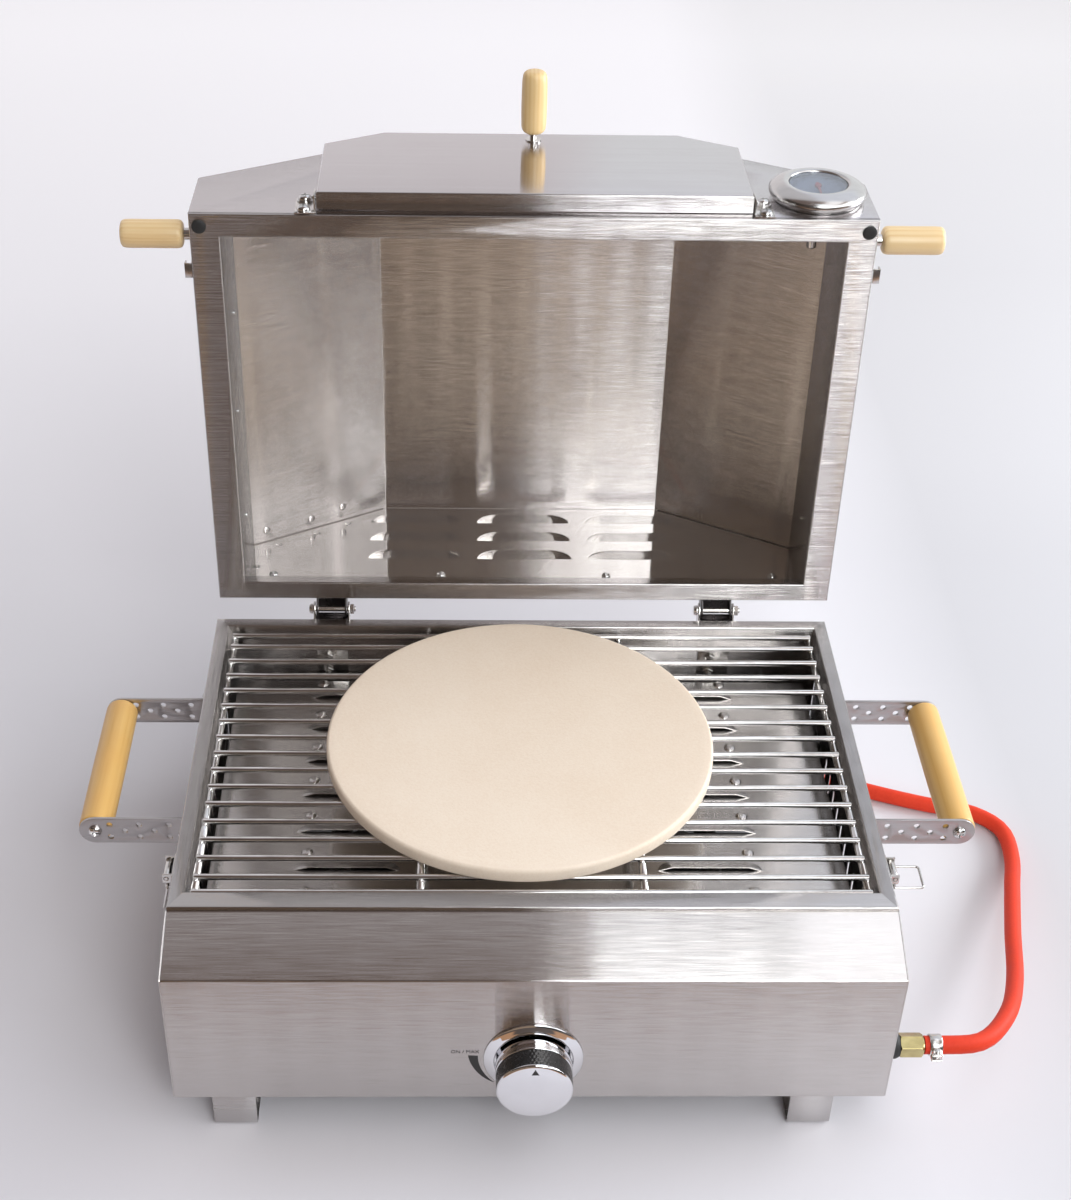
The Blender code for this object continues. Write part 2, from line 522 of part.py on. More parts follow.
# ------------------------------------------------------------------ draw latches on the base, hooks on the hood
PIVOT_D, PIVOT_Z = 5.5, -8.0        # lever pivot, out from the side panel and up
PIN_D, PIN_Z = 5.0, -15.0           # where the bail turns in the lever
BAIL = 22.5
for side, s in (("left", -1), ("right", 1)):
    def out(d, y, z, s=s):
        return (s * (SIDE_X + d), LATCH_Y + y, z)
    plate = joined(box(0.3, 1.5, -12, 12, -50, -3.6),
                   *[box(0.8, 8.4, y, y + 1.1, -12.4, -3.8) for y in (-10.0, 8.9)])
    plate = cut(plate, rod((PIVOT_D, -20, PIVOT_Z), (PIVOT_D, 20, PIVOT_Z), 1.9, 12))
    solid(f"latch_plate_{side}", plate, "dark_steel", where=out)
    blade = prism(folded([(3.4, -10), (3.4, -40), (6, -45.5), (9.4, -49)][::-1], 1.3), "y", -7.8, 7.8)
    lever = joined(blade,
                   rod((PIVOT_D, -8.6, PIVOT_Z), (PIVOT_D, 8.6, PIVOT_Z), 2.7, 12),
                   rod((PIVOT_D, -10.1, PIVOT_Z), (PIVOT_D, 10.1, PIVOT_Z), 1.5, 12),
                   *[box(3.2, 7.4, y, y + 1.1, -19, -7.4) for y in (-8.1, 7.0)])
    lever = cut(lever, rod((PIN_D, -20, PIN_Z), (PIN_D, 20, PIN_Z), 1.4, 12))
    solid(f"latch_lever_{side}", lever, "bright_steel", where=out, origin=out(PIVOT_D, 0, PIVOT_Z), sharp=40)
    # the bail stands straight out on the right, and hangs down over the lever on the left
    a = math.radians(0 if s > 0 else -78)
    ca, sa = math.cos(a), math.sin(a)
    shape = [(0, 7.1), (0, 10.2), (0.6, 11.0), (1.4, 11.3), (BAIL - 3, 11.3), (BAIL - 0.9, 10.4), (BAIL, 8.3)]
    shape = shape + [(l, -y) for l, y in reversed(shape)]
    bail = wire([(PIN_D + l * ca, y, PIN_Z + l * sa) for l, y in shape], 1.0, 8)
    solid(f"latch_bail_{side}", bail, "bright_steel", where=out, origin=out(PIN_D, 0, PIN_Z))
    hook = prism(folded([(6.2, 9.6), (6.2, 3.6), (0.3, 3.6), (0.3, 19)], 1.2), "y", 302.3 - 6, 302.3 + 6)
    solid(f"latch_keeper_{side}", hook, "bright_steel", where=lambda d, v, w, s=s: hood(s * (HOOD_W / 2 + d), v, w),
          origin=(0, HINGE_Y, HINGE_Z))

# ------------------------------------------------------------------ grate and stone
rods = [rod((-248, y, ROD_Z), (248, y, ROD_Z), ROD_R, 8) for y in
        [21.0] + [GRATE_MID + ROD_PITCH * i for i in range(-7, 8)] + [332.0]]
grate = boolean(merged(rods), merged([rod((x, 17.5, BAR_Z), (x, 336.5, BAR_Z), BAR_R, 8) for x in (-246, -82, 82, 246)]), "UNION")
solid("cooking_grate", grate, "bright_steel")
stone = [(0, 0), (STONE_R - 1.0, 0), (STONE_R, 1.0), (STONE_R, STONE_T - 2.5), (STONE_R - 2.0, STONE_T), (0, STONE_T)]
solid("pizza_stone", turned(stone, (STONE_X, STONE_Y, ROD_Z + ROD_R + 0.3), (0, 0, 1), 64), "stone")

# ------------------------------------------------------------------ hood
LID_O = (0, HINGE_Y, HINGE_Z)
half, roof = HOOD_W / 2, HOOD_ROOF / 2
outline = [(-half, 1.5), (-half, HOOD_SIDE), (-roof, HOOD_H), (roof, HOOD_H), (half, HOOD_SIDE), (half, 1.5)]
shell = prism(folded(outline, HOOD_T), "y", 1.5, HOOD_D - 1.5)
solid("lid_hood_shell", shell, "steel", where=hood, origin=LID_O)

door_hole = [(-152, 22), (-152, 97), (-110, 120), (110, 120), (152, 97), (152, 22)]
GAUGE_X, GAUGE_W = 220.0, 42.5
wall = cut(prism(outline, "y", HOOD_D - HOOD_T, HOOD_D), prism(door_hole, "y", HOOD_D - 5, HOOD_D + 5),
           rod((GAUGE_X, HOOD_D - 5, GAUGE_W), (GAUGE_X, HOOD_D + 5, GAUGE_W), 5, 16))
solid("lid_front_wall", wall, "steel", where=hood, origin=LID_O)



def louvre(cx, cw, length, width, depth, rise, lead):
    """A pressed louvre's form: straight and deepest along its open edge, rounded at both ends and at its back."""
    end, power, rings = 14.0, 2.4, []
    for u in (-0.94, -0.8, -0.55, -0.25, 0.25, 0.55, 0.8, 0.94):
        e = abs(u) ** power
        back = (1 - e) ** (1 / power)
        x = cx + math.copysign(length / 2 - end + abs(u) * end, u)
        ts = [back * math.sin(math.pi / 2 * j / 4) for j in range(5)]
        ring = [(x, rise, cw - width / 2 - lead)]
        ring += [(x, -depth * max(0.0, 1 - e - t ** power) ** (1 / power), cw - width / 2 + t * width - (lead if j == 0 else 0)) for j, t in enumerate(ts)]
        ring.append((x, rise, cw - width / 2 + back * width))
        rings.append(ring)
    return faces_from(rings, False, True)


louvre_at = [(x, w) for x in (-95.5, 1.5, 99) for w in (69.5, 99.5, 129.5)]
rear = boolean(prism(outline, "y", 0, HOOD_T), merged([louvre(x, w, 84, 12.6, 5.6, 0.6, 0.0) for x, w in louvre_at]), "UNION")
rear = cut(rear, *[louvre(x, w, 81.6, 11.4, 4.4, 3.0, 0.6) for x, w in louvre_at])
solid("lid_rear_wall", rear, "steel", where=hood, origin=LID_O)

mouth = picture_frame([(0, 0, 0), (0, 0, 1.2), (1, -1, 1.2), (1, -1, 10), (1, 0, 10), (1, 0, 0)],
                      -half, half, 0, HOOD_D, MOUTH_SIDE, MOUTH_SIDE, MOUTH_REAR, MOUTH_FRONT)
liner_x = half - MOUTH_SIDE
mouth = joined(mouth, box(liner_x + 0.1, liner_x + 0.9, 1.6, HOOD_D - 1.6, 0.5, 80),
               box(-liner_x - 0.9, -liner_x - 0.1, 1.6, HOOD_D - 1.6, 0.5, 80))
solid("lid_mouth_frame", mouth, "steel", where=hood, origin=LID_O)

# wooden lifting knobs on the hood's sides, each turned with a slim neck where its metal spacer sits
side_knob = [(0, 0.3), (4, 0.3), (4, 6.0), (8.6, 6.2), (10.6, 8.2), (11, 12), (11, 48), (10, 52.6), (8, 54), (0, 54)]
for side, s in (("left", -1), ("right", 1)):
    solid(f"lid_side_knob_{side}", turned(side_knob, (s * half, 328, 14), (s, 0, 0), 20), "wood", where=hood, origin=LID_O)

# ------------------------------------------------------------------ thermometer
gauge = [(0, -41), (3.2, -41), (4, -39.5), (4, 0.4), (33.6, 0.4), (35.8, 1.5), (37.4, 3.6), (38, 6.2), (37.5, 8.8), (35.8, 11.0),
         (33, 12.7), (29.5, 13.7), (26, 13.9), (23.9, 13.6), (22.9, 12.8), (22.9, 8), (0, 8)]
GAUGE = (GAUGE_X, HOOD_D, GAUGE_W)
solid("gauge_housing", turned(gauge, GAUGE, (0, 1, 0), 36), "steel", where=hood, origin=LID_O)
solid("gauge_glass", turned([(0, 11), (22.5, 11), (22.5, 12.4), (0, 12.4)], GAUGE, (0, 1, 0), 36), "glass", where=hood, origin=LID_O)
hand = joined(turned([(0, 8.5), (2.6, 8.5), (2.6, 10.4), (0, 10.4)], GAUGE, (0, 1, 0), 12),
              prism([(GAUGE_X - 1.3, GAUGE_W + 6), (GAUGE_X - 0.4, GAUGE_W - 18.5), (GAUGE_X + 0.4, GAUGE_W - 18.5), (GAUGE_X + 1.3, GAUGE_W + 6)],
                    "y", HOOD_D + 9.0, HOOD_D + 9.8))
solid("gauge_needle", hand, "red_paint", where=hood, origin=hood(*GAUGE))

# ------------------------------------------------------------------ oven door
DOOR_AXIS = (12.4, 8.8)             # w, and height over the front wall
DOOR_LOW, DOOR_SIDE, DOOR_TOP, DOOR_HALF, DOOR_TOP_HALF = 9.5, 110.5, 136.0, 166.0, 119.0
DOOR_DEEP = 14.5


def door_outline(inset):
    run, rise = DOOR_HALF - DOOR_TOP_HALF, DOOR_TOP - DOOR_SIDE
    slant = math.hypot(run, rise)
    k = (slant - run) / rise * inset    # corner shift along the upright side
    m = (slant - rise) / run * inset    # corner shift along the top edge
    return [(-DOOR_HALF + inset, DOOR_LOW + inset), (-DOOR_HALF + inset, DOOR_SIDE - k), (-DOOR_TOP_HALF + m, DOOR_TOP - inset),
            (DOOR_TOP_HALF - m, DOOR_TOP - inset), (DOOR_HALF - inset, DOOR_SIDE - k), (DOOR_HALF - inset, DOOR_LOW + inset)]


tray = cut(prism(door_outline(0), "y", HOOD_D + 0.8, HOOD_D + DOOR_DEEP), prism(door_outline(1.0), "y", HOOD_D - 2, HOOD_D + DOOR_DEEP - 1.0))
pin_at = HOOD_D + DOOR_AXIS[1]
tray = cut(tray, rod((-170, pin_at, DOOR_AXIS[0]), (-160, pin_at, DOOR_AXIS[0]), 1.8, 12),
           rod((160, pin_at, DOOR_AXIS[0]), (170, pin_at, DOOR_AXIS[0]), 1.8, 12))
DOOR_O = hood(0, pin_at, DOOR_AXIS[0])
solid("oven_door", tray, "steel", where=hood, origin=DOOR_O)
door_grip = [(0, 0.3), (6.6, 0.3), (6.6, 1.1), (2.2, 1.2), (2.2, 5.0), (7.4, 5.2), (9.6, 7.4), (10.2, 12), (10.2, 44), (9.4, 53), (8, 55.5), (4, 56.2), (0, 56.2)]
solid("door_handle_grip", turned(door_grip, (1.5, HOOD_D + DOOR_DEEP, 122), (0, 1, 0), 20), "wood", where=hood, origin=DOOR_O)
for side, s in (("left", -1), ("right", 1)):
    bracket = joined(box(166.9, 182.5, HOOD_D + 0.3, HOOD_D + 1.5, 1.2, 31),
                     box(166.7, 167.9, HOOD_D + 0.6, HOOD_D + 13.2, 6.2, 20),
                     rod((163.2, pin_at, DOOR_AXIS[0]), (169.4, pin_at, DOOR_AXIS[0]), 1.5, 12))
    if s < 0:
        for v in bracket.verts:
            v.co.x = -v.co.x
    solid(f"door_pivot_bracket_{side}", bracket, "dark_steel", where=hood, origin=LID_O)
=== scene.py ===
"""Looks for the table-top gas grill with the pizza oven hood: camera, studio, materials and detailed pieces."""

import math

import bmesh
import bpy
from mathutils import Matrix, Vector, noise


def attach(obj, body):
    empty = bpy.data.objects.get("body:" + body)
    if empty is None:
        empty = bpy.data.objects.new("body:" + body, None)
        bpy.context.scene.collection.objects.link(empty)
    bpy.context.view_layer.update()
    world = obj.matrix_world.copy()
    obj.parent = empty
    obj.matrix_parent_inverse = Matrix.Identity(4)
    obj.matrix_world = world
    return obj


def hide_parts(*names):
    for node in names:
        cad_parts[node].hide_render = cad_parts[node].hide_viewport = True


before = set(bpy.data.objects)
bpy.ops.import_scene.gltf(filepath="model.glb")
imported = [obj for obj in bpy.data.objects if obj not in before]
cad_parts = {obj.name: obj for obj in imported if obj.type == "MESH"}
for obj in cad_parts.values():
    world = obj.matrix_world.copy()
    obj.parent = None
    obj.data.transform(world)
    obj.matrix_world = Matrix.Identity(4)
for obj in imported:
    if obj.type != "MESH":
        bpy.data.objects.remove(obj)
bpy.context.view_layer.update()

# ------------------------------------------------------------------ shared drafting frame (mm), as in the solids
RIM_W, RIM_D, RIM_H = 525.0, 350.0, 178.0
HINGE_Y, HINGE_Z = 361.0, 2.8
LID_OPEN = math.radians(91.2)
LID_DX, LID_BACK_Y, LID_GAP = 2.0, 349.82, 1.57
HOOD_H, HOOD_SIDE, HOOD_ROOF = 149.0, 71.5, 250.0
SIDE_X = 262.2
KNOB_X, KNOB_Z, PANEL_Y = 0.7, -102.0, -50.5
INLET_Y, INLET_Z = -38.0, -102.5


def hood(x, v, w):
    """Hood coordinates (x, from the hinge edge, from the mouth plane) to the drafting frame."""
    dy, dz = LID_BACK_Y - v - HINGE_Y, LID_GAP + w - HINGE_Z
    c, s = math.cos(-LID_OPEN), math.sin(-LID_OPEN)
    return (x + LID_DX, HINGE_Y + dy * c - dz * s, HINGE_Z + dy * s + dz * c)


MID_Y = ((PANEL_Y - 33.0) + hood(0, 350, HOOD_H)[1]) / 2


def place(p):
    return Vector((p[0] * 0.001, (p[1] - MID_Y) * 0.001, (p[2] + RIM_H) * 0.001))


def flat(x, y, z):
    return (x, y, z)


# ------------------------------------------------------------------ camera
scene = bpy.context.scene
cam_data = bpy.data.cameras.new("camera")
cam_data.sensor_fit = "VERTICAL"
cam_data.sensor_height = 36.0
cam_data.lens = 1893.52 * 36.0 / 1200.0
cam_data.shift_x = (535.5 - 502.36) / 1200.0
cam_data.shift_y = (638.48 - 600.0) / 1200.0
cam_data.clip_end = 60
YAW, PITCH, ROLL = math.radians(1.6752), math.radians(36.6488), math.radians(1.2426)
look = Vector((math.sin(YAW) * math.cos(PITCH), math.cos(YAW) * math.cos(PITCH), -math.sin(PITCH)))
right = Vector((math.cos(YAW), -math.sin(YAW), 0))
up = right.cross(look)
r_axis = math.cos(ROLL) * right + math.sin(ROLL) * up
u_axis = -math.sin(ROLL) * right + math.cos(ROLL) * up
cam = bpy.data.objects.new("camera", cam_data)
scene.collection.objects.link(cam)
cam.matrix_world = Matrix.Translation((-0.0554, -0.9710 - MID_Y * 0.001, 0.9628 + RIM_H * 0.001)) @ Matrix(
    ((r_axis.x, u_axis.x, -look.x), (r_axis.y, u_axis.y, -look.y), (r_axis.z, u_axis.z, -look.z))).to_4x4()
scene.camera = cam
scene.view_settings.view_transform = "Standard"
scene.view_settings.look = "None"


# ------------------------------------------------------------------ material kit
def new_material(name):
    m = bpy.data.materials.new(name)
    m.use_nodes = True
    nt = m.node_tree
    bsdf = nt.nodes["Principled BSDF"]
    coord = nt.nodes.new("ShaderNodeTexCoord")
    return m, nt, bsdf, coord.outputs["Object"]


def mapped(nt, coord, scale, rotation=(0, 0, 0)):
    n = nt.nodes.new("ShaderNodeMapping")
    n.inputs["Scale"].default_value = scale
    n.inputs["Rotation"].default_value = rotation
    nt.links.new(coord, n.inputs["Vector"])
    return n.outputs["Vector"]


def noise_of(nt, vec, scale, detail=2.0, rough=0.5, distortion=0.0):
    n = nt.nodes.new("ShaderNodeTexNoise")
    n.inputs["Scale"].default_value = scale
    n.inputs["Detail"].default_value = detail
    n.inputs["Roughness"].default_value = rough
    n.inputs["Distortion"].default_value = distortion
    nt.links.new(vec, n.inputs["Vector"])
    return n.outputs["Fac"]


def ramp(nt, fac, stops):
    n = nt.nodes.new("ShaderNodeValToRGB")
    els = n.color_ramp.elements
    while len(els) < len(stops):
        els.new(0.5)
    for e, (pos, col) in zip(els, stops):
        e.position = pos
        e.color = (*col, 1) if len(col) == 3 else col
    nt.links.new(fac, n.inputs["Fac"])
    return n.outputs["Color"]


def span(nt, fac, lo, hi, f0=0.25, f1=0.75):
    n = nt.nodes.new("ShaderNodeMapRange")
    n.inputs["From Min"].default_value = f0
    n.inputs["From Max"].default_value = f1
    n.inputs["To Min"].default_value = lo
    n.inputs["To Max"].default_value = hi
    nt.links.new(fac, n.inputs["Value"])
    return n.outputs["Result"]


def add(nt, a, b, wa=1.0, wb=1.0):
    n = nt.nodes.new("ShaderNodeMath")
    n.operation = "MULTIPLY_ADD"
    nt.links.new(a, n.inputs[0])
    n.inputs[1].default_value = wa
    m = nt.nodes.new("ShaderNodeMath")
    m.operation = "MULTIPLY"
    nt.links.new(b, m.inputs[0])
    m.inputs[1].default_value = wb
    nt.links.new(m.outputs[0], n.inputs[2])
    return n.outputs[0]


def bump(nt, height, distance, strength=1.0, under=None):
    n = nt.nodes.new("ShaderNodeBump")
    n.inputs["Strength"].default_value = strength
    n.inputs["Distance"].default_value = distance
    nt.links.new(height, n.inputs["Height"])
    if under is not None:
        nt.links.new(under, n.inputs["Normal"])
    return n.outputs["Normal"]


def blend_colour(nt, fac, a, b):
    n = nt.nodes.new("ShaderNodeMix")
    n.data_type = "RGBA"
    for sock, val in (("A", a), ("B", b)):
        s = [i for i in n.inputs if i.name == sock and i.type == "RGBA"][0]
        if isinstance(val, tuple):
            s.default_value = (*val, 1)
        else:
            nt.links.new(val, s)
    nt.links.new(fac, n.inputs["Factor"])
    return [o for o in n.outputs if o.type == "RGBA"][0]


def grain_tangent(nt, bsdf, vec):
    """Points the blur of a brushed face across its grain, whichever way the piece is turned."""
    c = nt.nodes.new("ShaderNodeCombineXYZ")
    for i in range(3):
        c.inputs[i].default_value = vec[i]
    t = nt.nodes.new("ShaderNodeVectorTransform")
    t.vector_type, t.convert_from, t.convert_to = "VECTOR", "OBJECT", "WORLD"
    nt.links.new(c.outputs[0], t.inputs[0])
    nt.links.new(t.outputs[0], bsdf.inputs["Tangent"])
    return t.outputs[0]


def vector_math(nt, op, a, b=None):
    n = nt.nodes.new("ShaderNodeVectorMath")
    n.operation = op
    nt.links.new(a, n.inputs[0])
    if b is not None:
        nt.links.new(b, n.inputs["Scale"] if op == "SCALE" else n.inputs[1])
    return n.outputs[0]


def brushed(name, low, high, rough=(0.15, 0.2), along=0, aniso=1.0, mottle=0.3, wave=0.0002, tangent=(0, 0.25, 1), grain=1.0, groove=0.9):
    """Brushed sheet steel: fine streaks along one axis, soft cloudy patches, and a slightly wavy sheet."""
    m, nt, b, co = new_material(name)
    slow = along if isinstance(along, tuple) else (along,)
    fine = [5.0 if i in slow else 1100.0 for i in range(3)]
    mid = [2.0 if i in slow else 240.0 for i in range(3)]
    streak = noise_of(nt, mapped(nt, co, fine), 1.0, 3, 0.6)
    bands = noise_of(nt, mapped(nt, co, mid), 1.0, 2, 0.5)
    cloud = noise_of(nt, co, 11.0, 4, 0.62, 0.6)
    both = add(nt, streak, bands, 0.55 * grain, 0.45 * grain)
    tone = add(nt, both, cloud, 1 - mottle, mottle)
    nt.links.new(ramp(nt, tone, [(0.22, low), (0.72, high)]), b.inputs["Base Color"])
    nt.links.new(span(nt, tone, rough[0], rough[1], 0.3, 0.7), b.inputs["Roughness"])
    b.inputs["Metallic"].default_value = 1.0
    b.inputs["Anisotropic"].default_value = aniso
    across = grain_tangent(nt, b, tangent)
    sheet = noise_of(nt, co, 4.5, 2, 0.5)
    flat_n = bump(nt, sheet, wave * 4, 0.3)
    if not groove:
        nt.links.new(flat_n, b.inputs["Normal"])
        return m
    # the grooves of the brushing, finer than the eye can part, tilt the face across the grain only
    lines = noise_of(nt, mapped(nt, co, [30.0 if i in slow else 38000.0 for i in range(3)]), 1.0, 0, 0.5)
    tilt = vector_math(nt, "SCALE", across, span(nt, lines, -groove, groove, 0.0, 1.0))
    nt.links.new(vector_math(nt, "NORMALIZE", vector_math(nt, "ADD", flat_n, tilt)), b.inputs["Normal"])
    return m


def plated(name, colour, rough=(0.1, 0.2), dirt=(0.8, 0.8, 0.8), scale=160, bumpy=0.00002):
    """Smooth plated or polished metal with faint smudges."""
    m, nt, b, co = new_material(name)
    smudge = noise_of(nt, co, scale * 0.2, 4, 0.6, 0.4)
    pits = noise_of(nt, co, scale * 4, 2, 0.5)
    dark = tuple(c * d for c, d in zip(colour, dirt))
    nt.links.new(ramp(nt, smudge, [(0.3, dark), (0.62, colour)]), b.inputs["Base Color"])
    nt.links.new(span(nt, smudge, rough[1], rough[0], 0.35, 0.65), b.inputs["Roughness"])
    b.inputs["Metallic"].default_value = 1.0
    nt.links.new(bump(nt, pits, bumpy, 0.4), b.inputs["Normal"])
    return m


def wood(name, axis, pale, deep, offset=(0, 0, 0), period=2.6):
    """Turned softwood: growth lines run along the axis, with fine fibres between them."""
    m, nt, b, co = new_material(name)
    shift = nt.nodes.new("ShaderNodeMapping")
    shift.inputs["Location"].default_value = offset
    nt.links.new(co, shift.inputs["Vector"])
    co = shift.outputs["Vector"]
    sq = [1.0] * 3
    sq[axis] = 0.06
    v = mapped(nt, co, sq)
    w = nt.nodes.new("ShaderNodeTexWave")
    w.wave_type, w.bands_direction = "BANDS", "XYZ"[(axis + 1) % 3]
    w.inputs["Scale"].default_value = 0.314 / (period * 0.001)
    w.inputs["Distortion"].default_value = 5.0
    w.inputs["Detail"].default_value = 2.0
    w.inputs["Detail Scale"].default_value = 0.35
    nt.links.new(v, w.inputs["Vector"])
    fib = [900.0] * 3
    fib[axis] = 16.0
    fibre = noise_of(nt, mapped(nt, co, fib), 1.0, 3, 0.6)
    patch = noise_of(nt, co, 26.0, 2, 0.5)
    line = add(nt, w.outputs["Fac"], fibre, 0.4, 0.6)
    mid = tuple((p * 2 + d) / 3 for p, d in zip(pale, deep))
    base = ramp(nt, line, [(0.2, pale), (0.62, mid), (0.95, deep)])
    warm = tuple(c * k for c, k in zip(mid, (1.02, 0.94, 0.82)))
    nt.links.new(blend_colour(nt, span(nt, patch, 0.0, 0.45, 0.35, 0.7), base, warm), b.inputs["Base Color"])
    nt.links.new(span(nt, line, 0.36, 0.5, 0.2, 0.8), b.inputs["Roughness"])
    b.inputs["Coat Weight"].default_value = 0.25
    b.inputs["Coat Roughness"].default_value = 0.28
    nt.links.new(bump(nt, line, 0.00005, 0.5), b.inputs["Normal"])
    return m


def plain(name, a, c, rough, scale=90, metallic=0.0, depth=0.00005, coat=0.0):
    m, nt, b, co = new_material(name)
    n = noise_of(nt, co, scale, 4, 0.6)
    f = noise_of(nt, co, scale * 9, 2, 0.5)
    nt.links.new(ramp(nt, add(nt, n, f, 0.6, 0.4), [(0.3, a), (0.7, c)]), b.inputs["Base Color"])
    nt.links.new(span(nt, n, rough[0], rough[1], 0.3, 0.7), b.inputs["Roughness"])
    b.inputs["Metallic"].default_value = metallic
    b.inputs["Coat Weight"].default_value = coat
    nt.links.new(bump(nt, f, depth, 0.6), b.inputs["Normal"])
    return m


M = {
    "panel": brushed("steel_panel", (0.585, 0.555, 0.54), (0.665, 0.64, 0.625), (0.13, 0.18), mottle=0.55, groove=0.7),
    "rim": brushed("steel_rim", (0.485, 0.46, 0.445), (0.595, 0.575, 0.56), (0.14, 0.19), mottle=0.4, groove=0.8),
    "rim_side": brushed("steel_rim_side", (0.42, 0.40, 0.39), (0.52, 0.50, 0.49), (0.18, 0.28), along=1, tangent=(1, 0, 0.0), groove=0.6),
    "hood_out": brushed("steel_hood", (0.55, 0.52, 0.52), (0.65, 0.63, 0.635), (0.12, 0.18), mottle=0.45, groove=0.3, tangent=(0, 1, 0.0)),
    "hood_in": brushed("steel_hood_shell", (0.638, 0.604, 0.58), (0.697, 0.666, 0.645), (0.118, 0.142), along=(0, 1), mottle=0.4, tangent=(0, 0.0, 1), groove=0.85),
    "hood_floor": brushed("steel_hood_rear", (0.66, 0.63, 0.61), (0.75, 0.73, 0.71), (0.08, 0.12), mottle=0.35, tangent=(0, 1, 0.0), groove=0.06),
    "mouth": brushed("steel_mouth", (0.51, 0.486, 0.476), (0.57, 0.549, 0.539), (0.142, 0.168), mottle=0.45, tangent=(0, 0.0, 1), groove=1.15),
    "door": brushed("steel_door", (0.56, 0.53, 0.535), (0.65, 0.63, 0.635), (0.11, 0.16), mottle=0.45, groove=0.25),
    "side": brushed("steel_side", (0.44, 0.42, 0.41), (0.56, 0.54, 0.53), (0.2, 0.3), along=1, tangent=(0.05, 0.05, 1), groove=0.6),
    "arm": brushed("steel_arm", (0.44, 0.42, 0.42), (0.52, 0.50, 0.50), (0.26, 0.36), mottle=0.15, aniso=0.5, groove=0.25),
    "tamer": brushed("steel_tamer", (0.64, 0.61, 0.59), (0.79, 0.765, 0.745), (0.2, 0.26), mottle=0.4, aniso=0.9, tangent=(0, 1, 0.0), groove=0.0),
    "foot": brushed("steel_foot", (0.54, 0.52, 0.52), (0.645, 0.625, 0.615), (0.2, 0.3), groove=0.4),
    "gauge": brushed("steel_gauge", (0.58, 0.565, 0.555), (0.68, 0.67, 0.66), (0.2, 0.27), mottle=0.1, aniso=0.0, groove=0.04),
    "rod": plated("rod_steel", (0.80, 0.79, 0.78), (0.12, 0.22), (0.72, 0.7, 0.68)),
    "nickel": plated("nickel_plate", (0.74, 0.72, 0.70), (0.14, 0.26), (0.7, 0.69, 0.67)),
    "screw": plated("screw_zinc", (0.78, 0.77, 0.76), (0.12, 0.24), (0.6, 0.6, 0.6)),
    # near-black plate: painted shade for the hinge plates that sit in shadow between the hinge cheeks
    "painted_shade_plate": plated("painted_shade_plate", (0.13, 0.12, 0.12), (0.25, 0.36), (0.6, 0.6, 0.6)),
    "chrome": plated("chrome", (0.86, 0.86, 0.88), (0.03, 0.07), (0.96, 0.96, 0.96), bumpy=0.000002),
    "burner": plain("burner_steel", (0.16, 0.14, 0.13), (0.36, 0.33, 0.31), (0.3, 0.5), metallic=1.0),
    "brass": plated("brass_nut", (0.62, 0.53, 0.27), (0.16, 0.28), (0.55, 0.52, 0.45)),
    "grip": wood("wood_grip", 1, (0.80, 0.50, 0.165), (0.675, 0.37, 0.09), (0.3, 0.1, 0.02), 4.6),
    "pine_x": wood("wood_pine_side", 0, (0.94, 0.73, 0.42), (0.80, 0.52, 0.22), (0.13, 0.4, 0.05), 3.6),
    "pine_z": wood("wood_pine_door", 2, (0.92, 0.69, 0.36), (0.77, 0.49, 0.19), (0.2, 0.52, 0.11), 3.2),
    "hose": plain("hose_rubber", (0.68, 0.040, 0.015), (0.76, 0.058, 0.022), (0.5, 0.62), 60, depth=0.00003, coat=0.0),
    "rubber": plain("black_rubber", (0.012, 0.012, 0.012), (0.035, 0.035, 0.036), (0.5, 0.7), 200, depth=0.00006),
    "knurl": plain("black_knurl", (0.014, 0.014, 0.015), (0.03, 0.03, 0.032), (0.2, 0.3), 300, depth=0.00002, coat=0.3),
    "print": plain("black_print", (0.02, 0.02, 0.02), (0.045, 0.045, 0.045), (0.5, 0.65), 300),
    "ceramic": plain("electrode_ceramic", (0.74, 0.71, 0.64), (0.84, 0.82, 0.77), (0.25, 0.4), 120, coat=0.4),
    "cast": plain("regulator_cast", (0.33, 0.33, 0.34), (0.45, 0.45, 0.46), (0.35, 0.5), 140, metallic=1.0),
    # the dial's blue-grey is painted reflection of the pale backdrop in the glass, laid over the face's own white-grey
    "dial": plain("dial_face_painted_reflection", (0.37, 0.43, 0.56), (0.41, 0.47, 0.60), (0.4, 0.55), 60),
    "needle": plain("needle_red", (0.62, 0.20, 0.22), (0.70, 0.26, 0.28), (0.35, 0.45), 200),
    "inside": plain("inside_dark", (0.10, 0.095, 0.09), (0.2, 0.19, 0.18), (0.35, 0.5), 60, metallic=1.0),
}


def stone_material():
    """Cordierite: pale sandy body, fine grain, sparse darker specks and shallow pores."""
    m, nt, b, co = new_material("stone_cordierite")
    cloud = noise_of(nt, co, 9.0, 4, 0.55)
    grit = noise_of(nt, co, 520.0, 3, 0.6)
    speck = noise_of(nt, co, 1500.0, 1, 0.5)
    tone = add(nt, cloud, grit, 0.55, 0.45)
    base = ramp(nt, tone, [(0.25, (0.85, 0.695, 0.545)), (0.55, (0.915, 0.785, 0.645)), (0.8, (0.95, 0.84, 0.71))])
    nt.links.new(blend_colour(nt, span(nt, speck, 0.35, 0.0, 0.26, 0.36), base, (0.68, 0.54, 0.38)), b.inputs["Base Color"])
    nt.links.new(span(nt, grit, 0.72, 0.9, 0.3, 0.7), b.inputs["Roughness"])
    b.inputs["Specular IOR Level"].default_value = 0.3
    n1 = bump(nt, cloud, 0.0012, 0.25)
    nt.links.new(bump(nt, grit, 0.00022, 0.6, n1), b.inputs["Normal"])
    return m


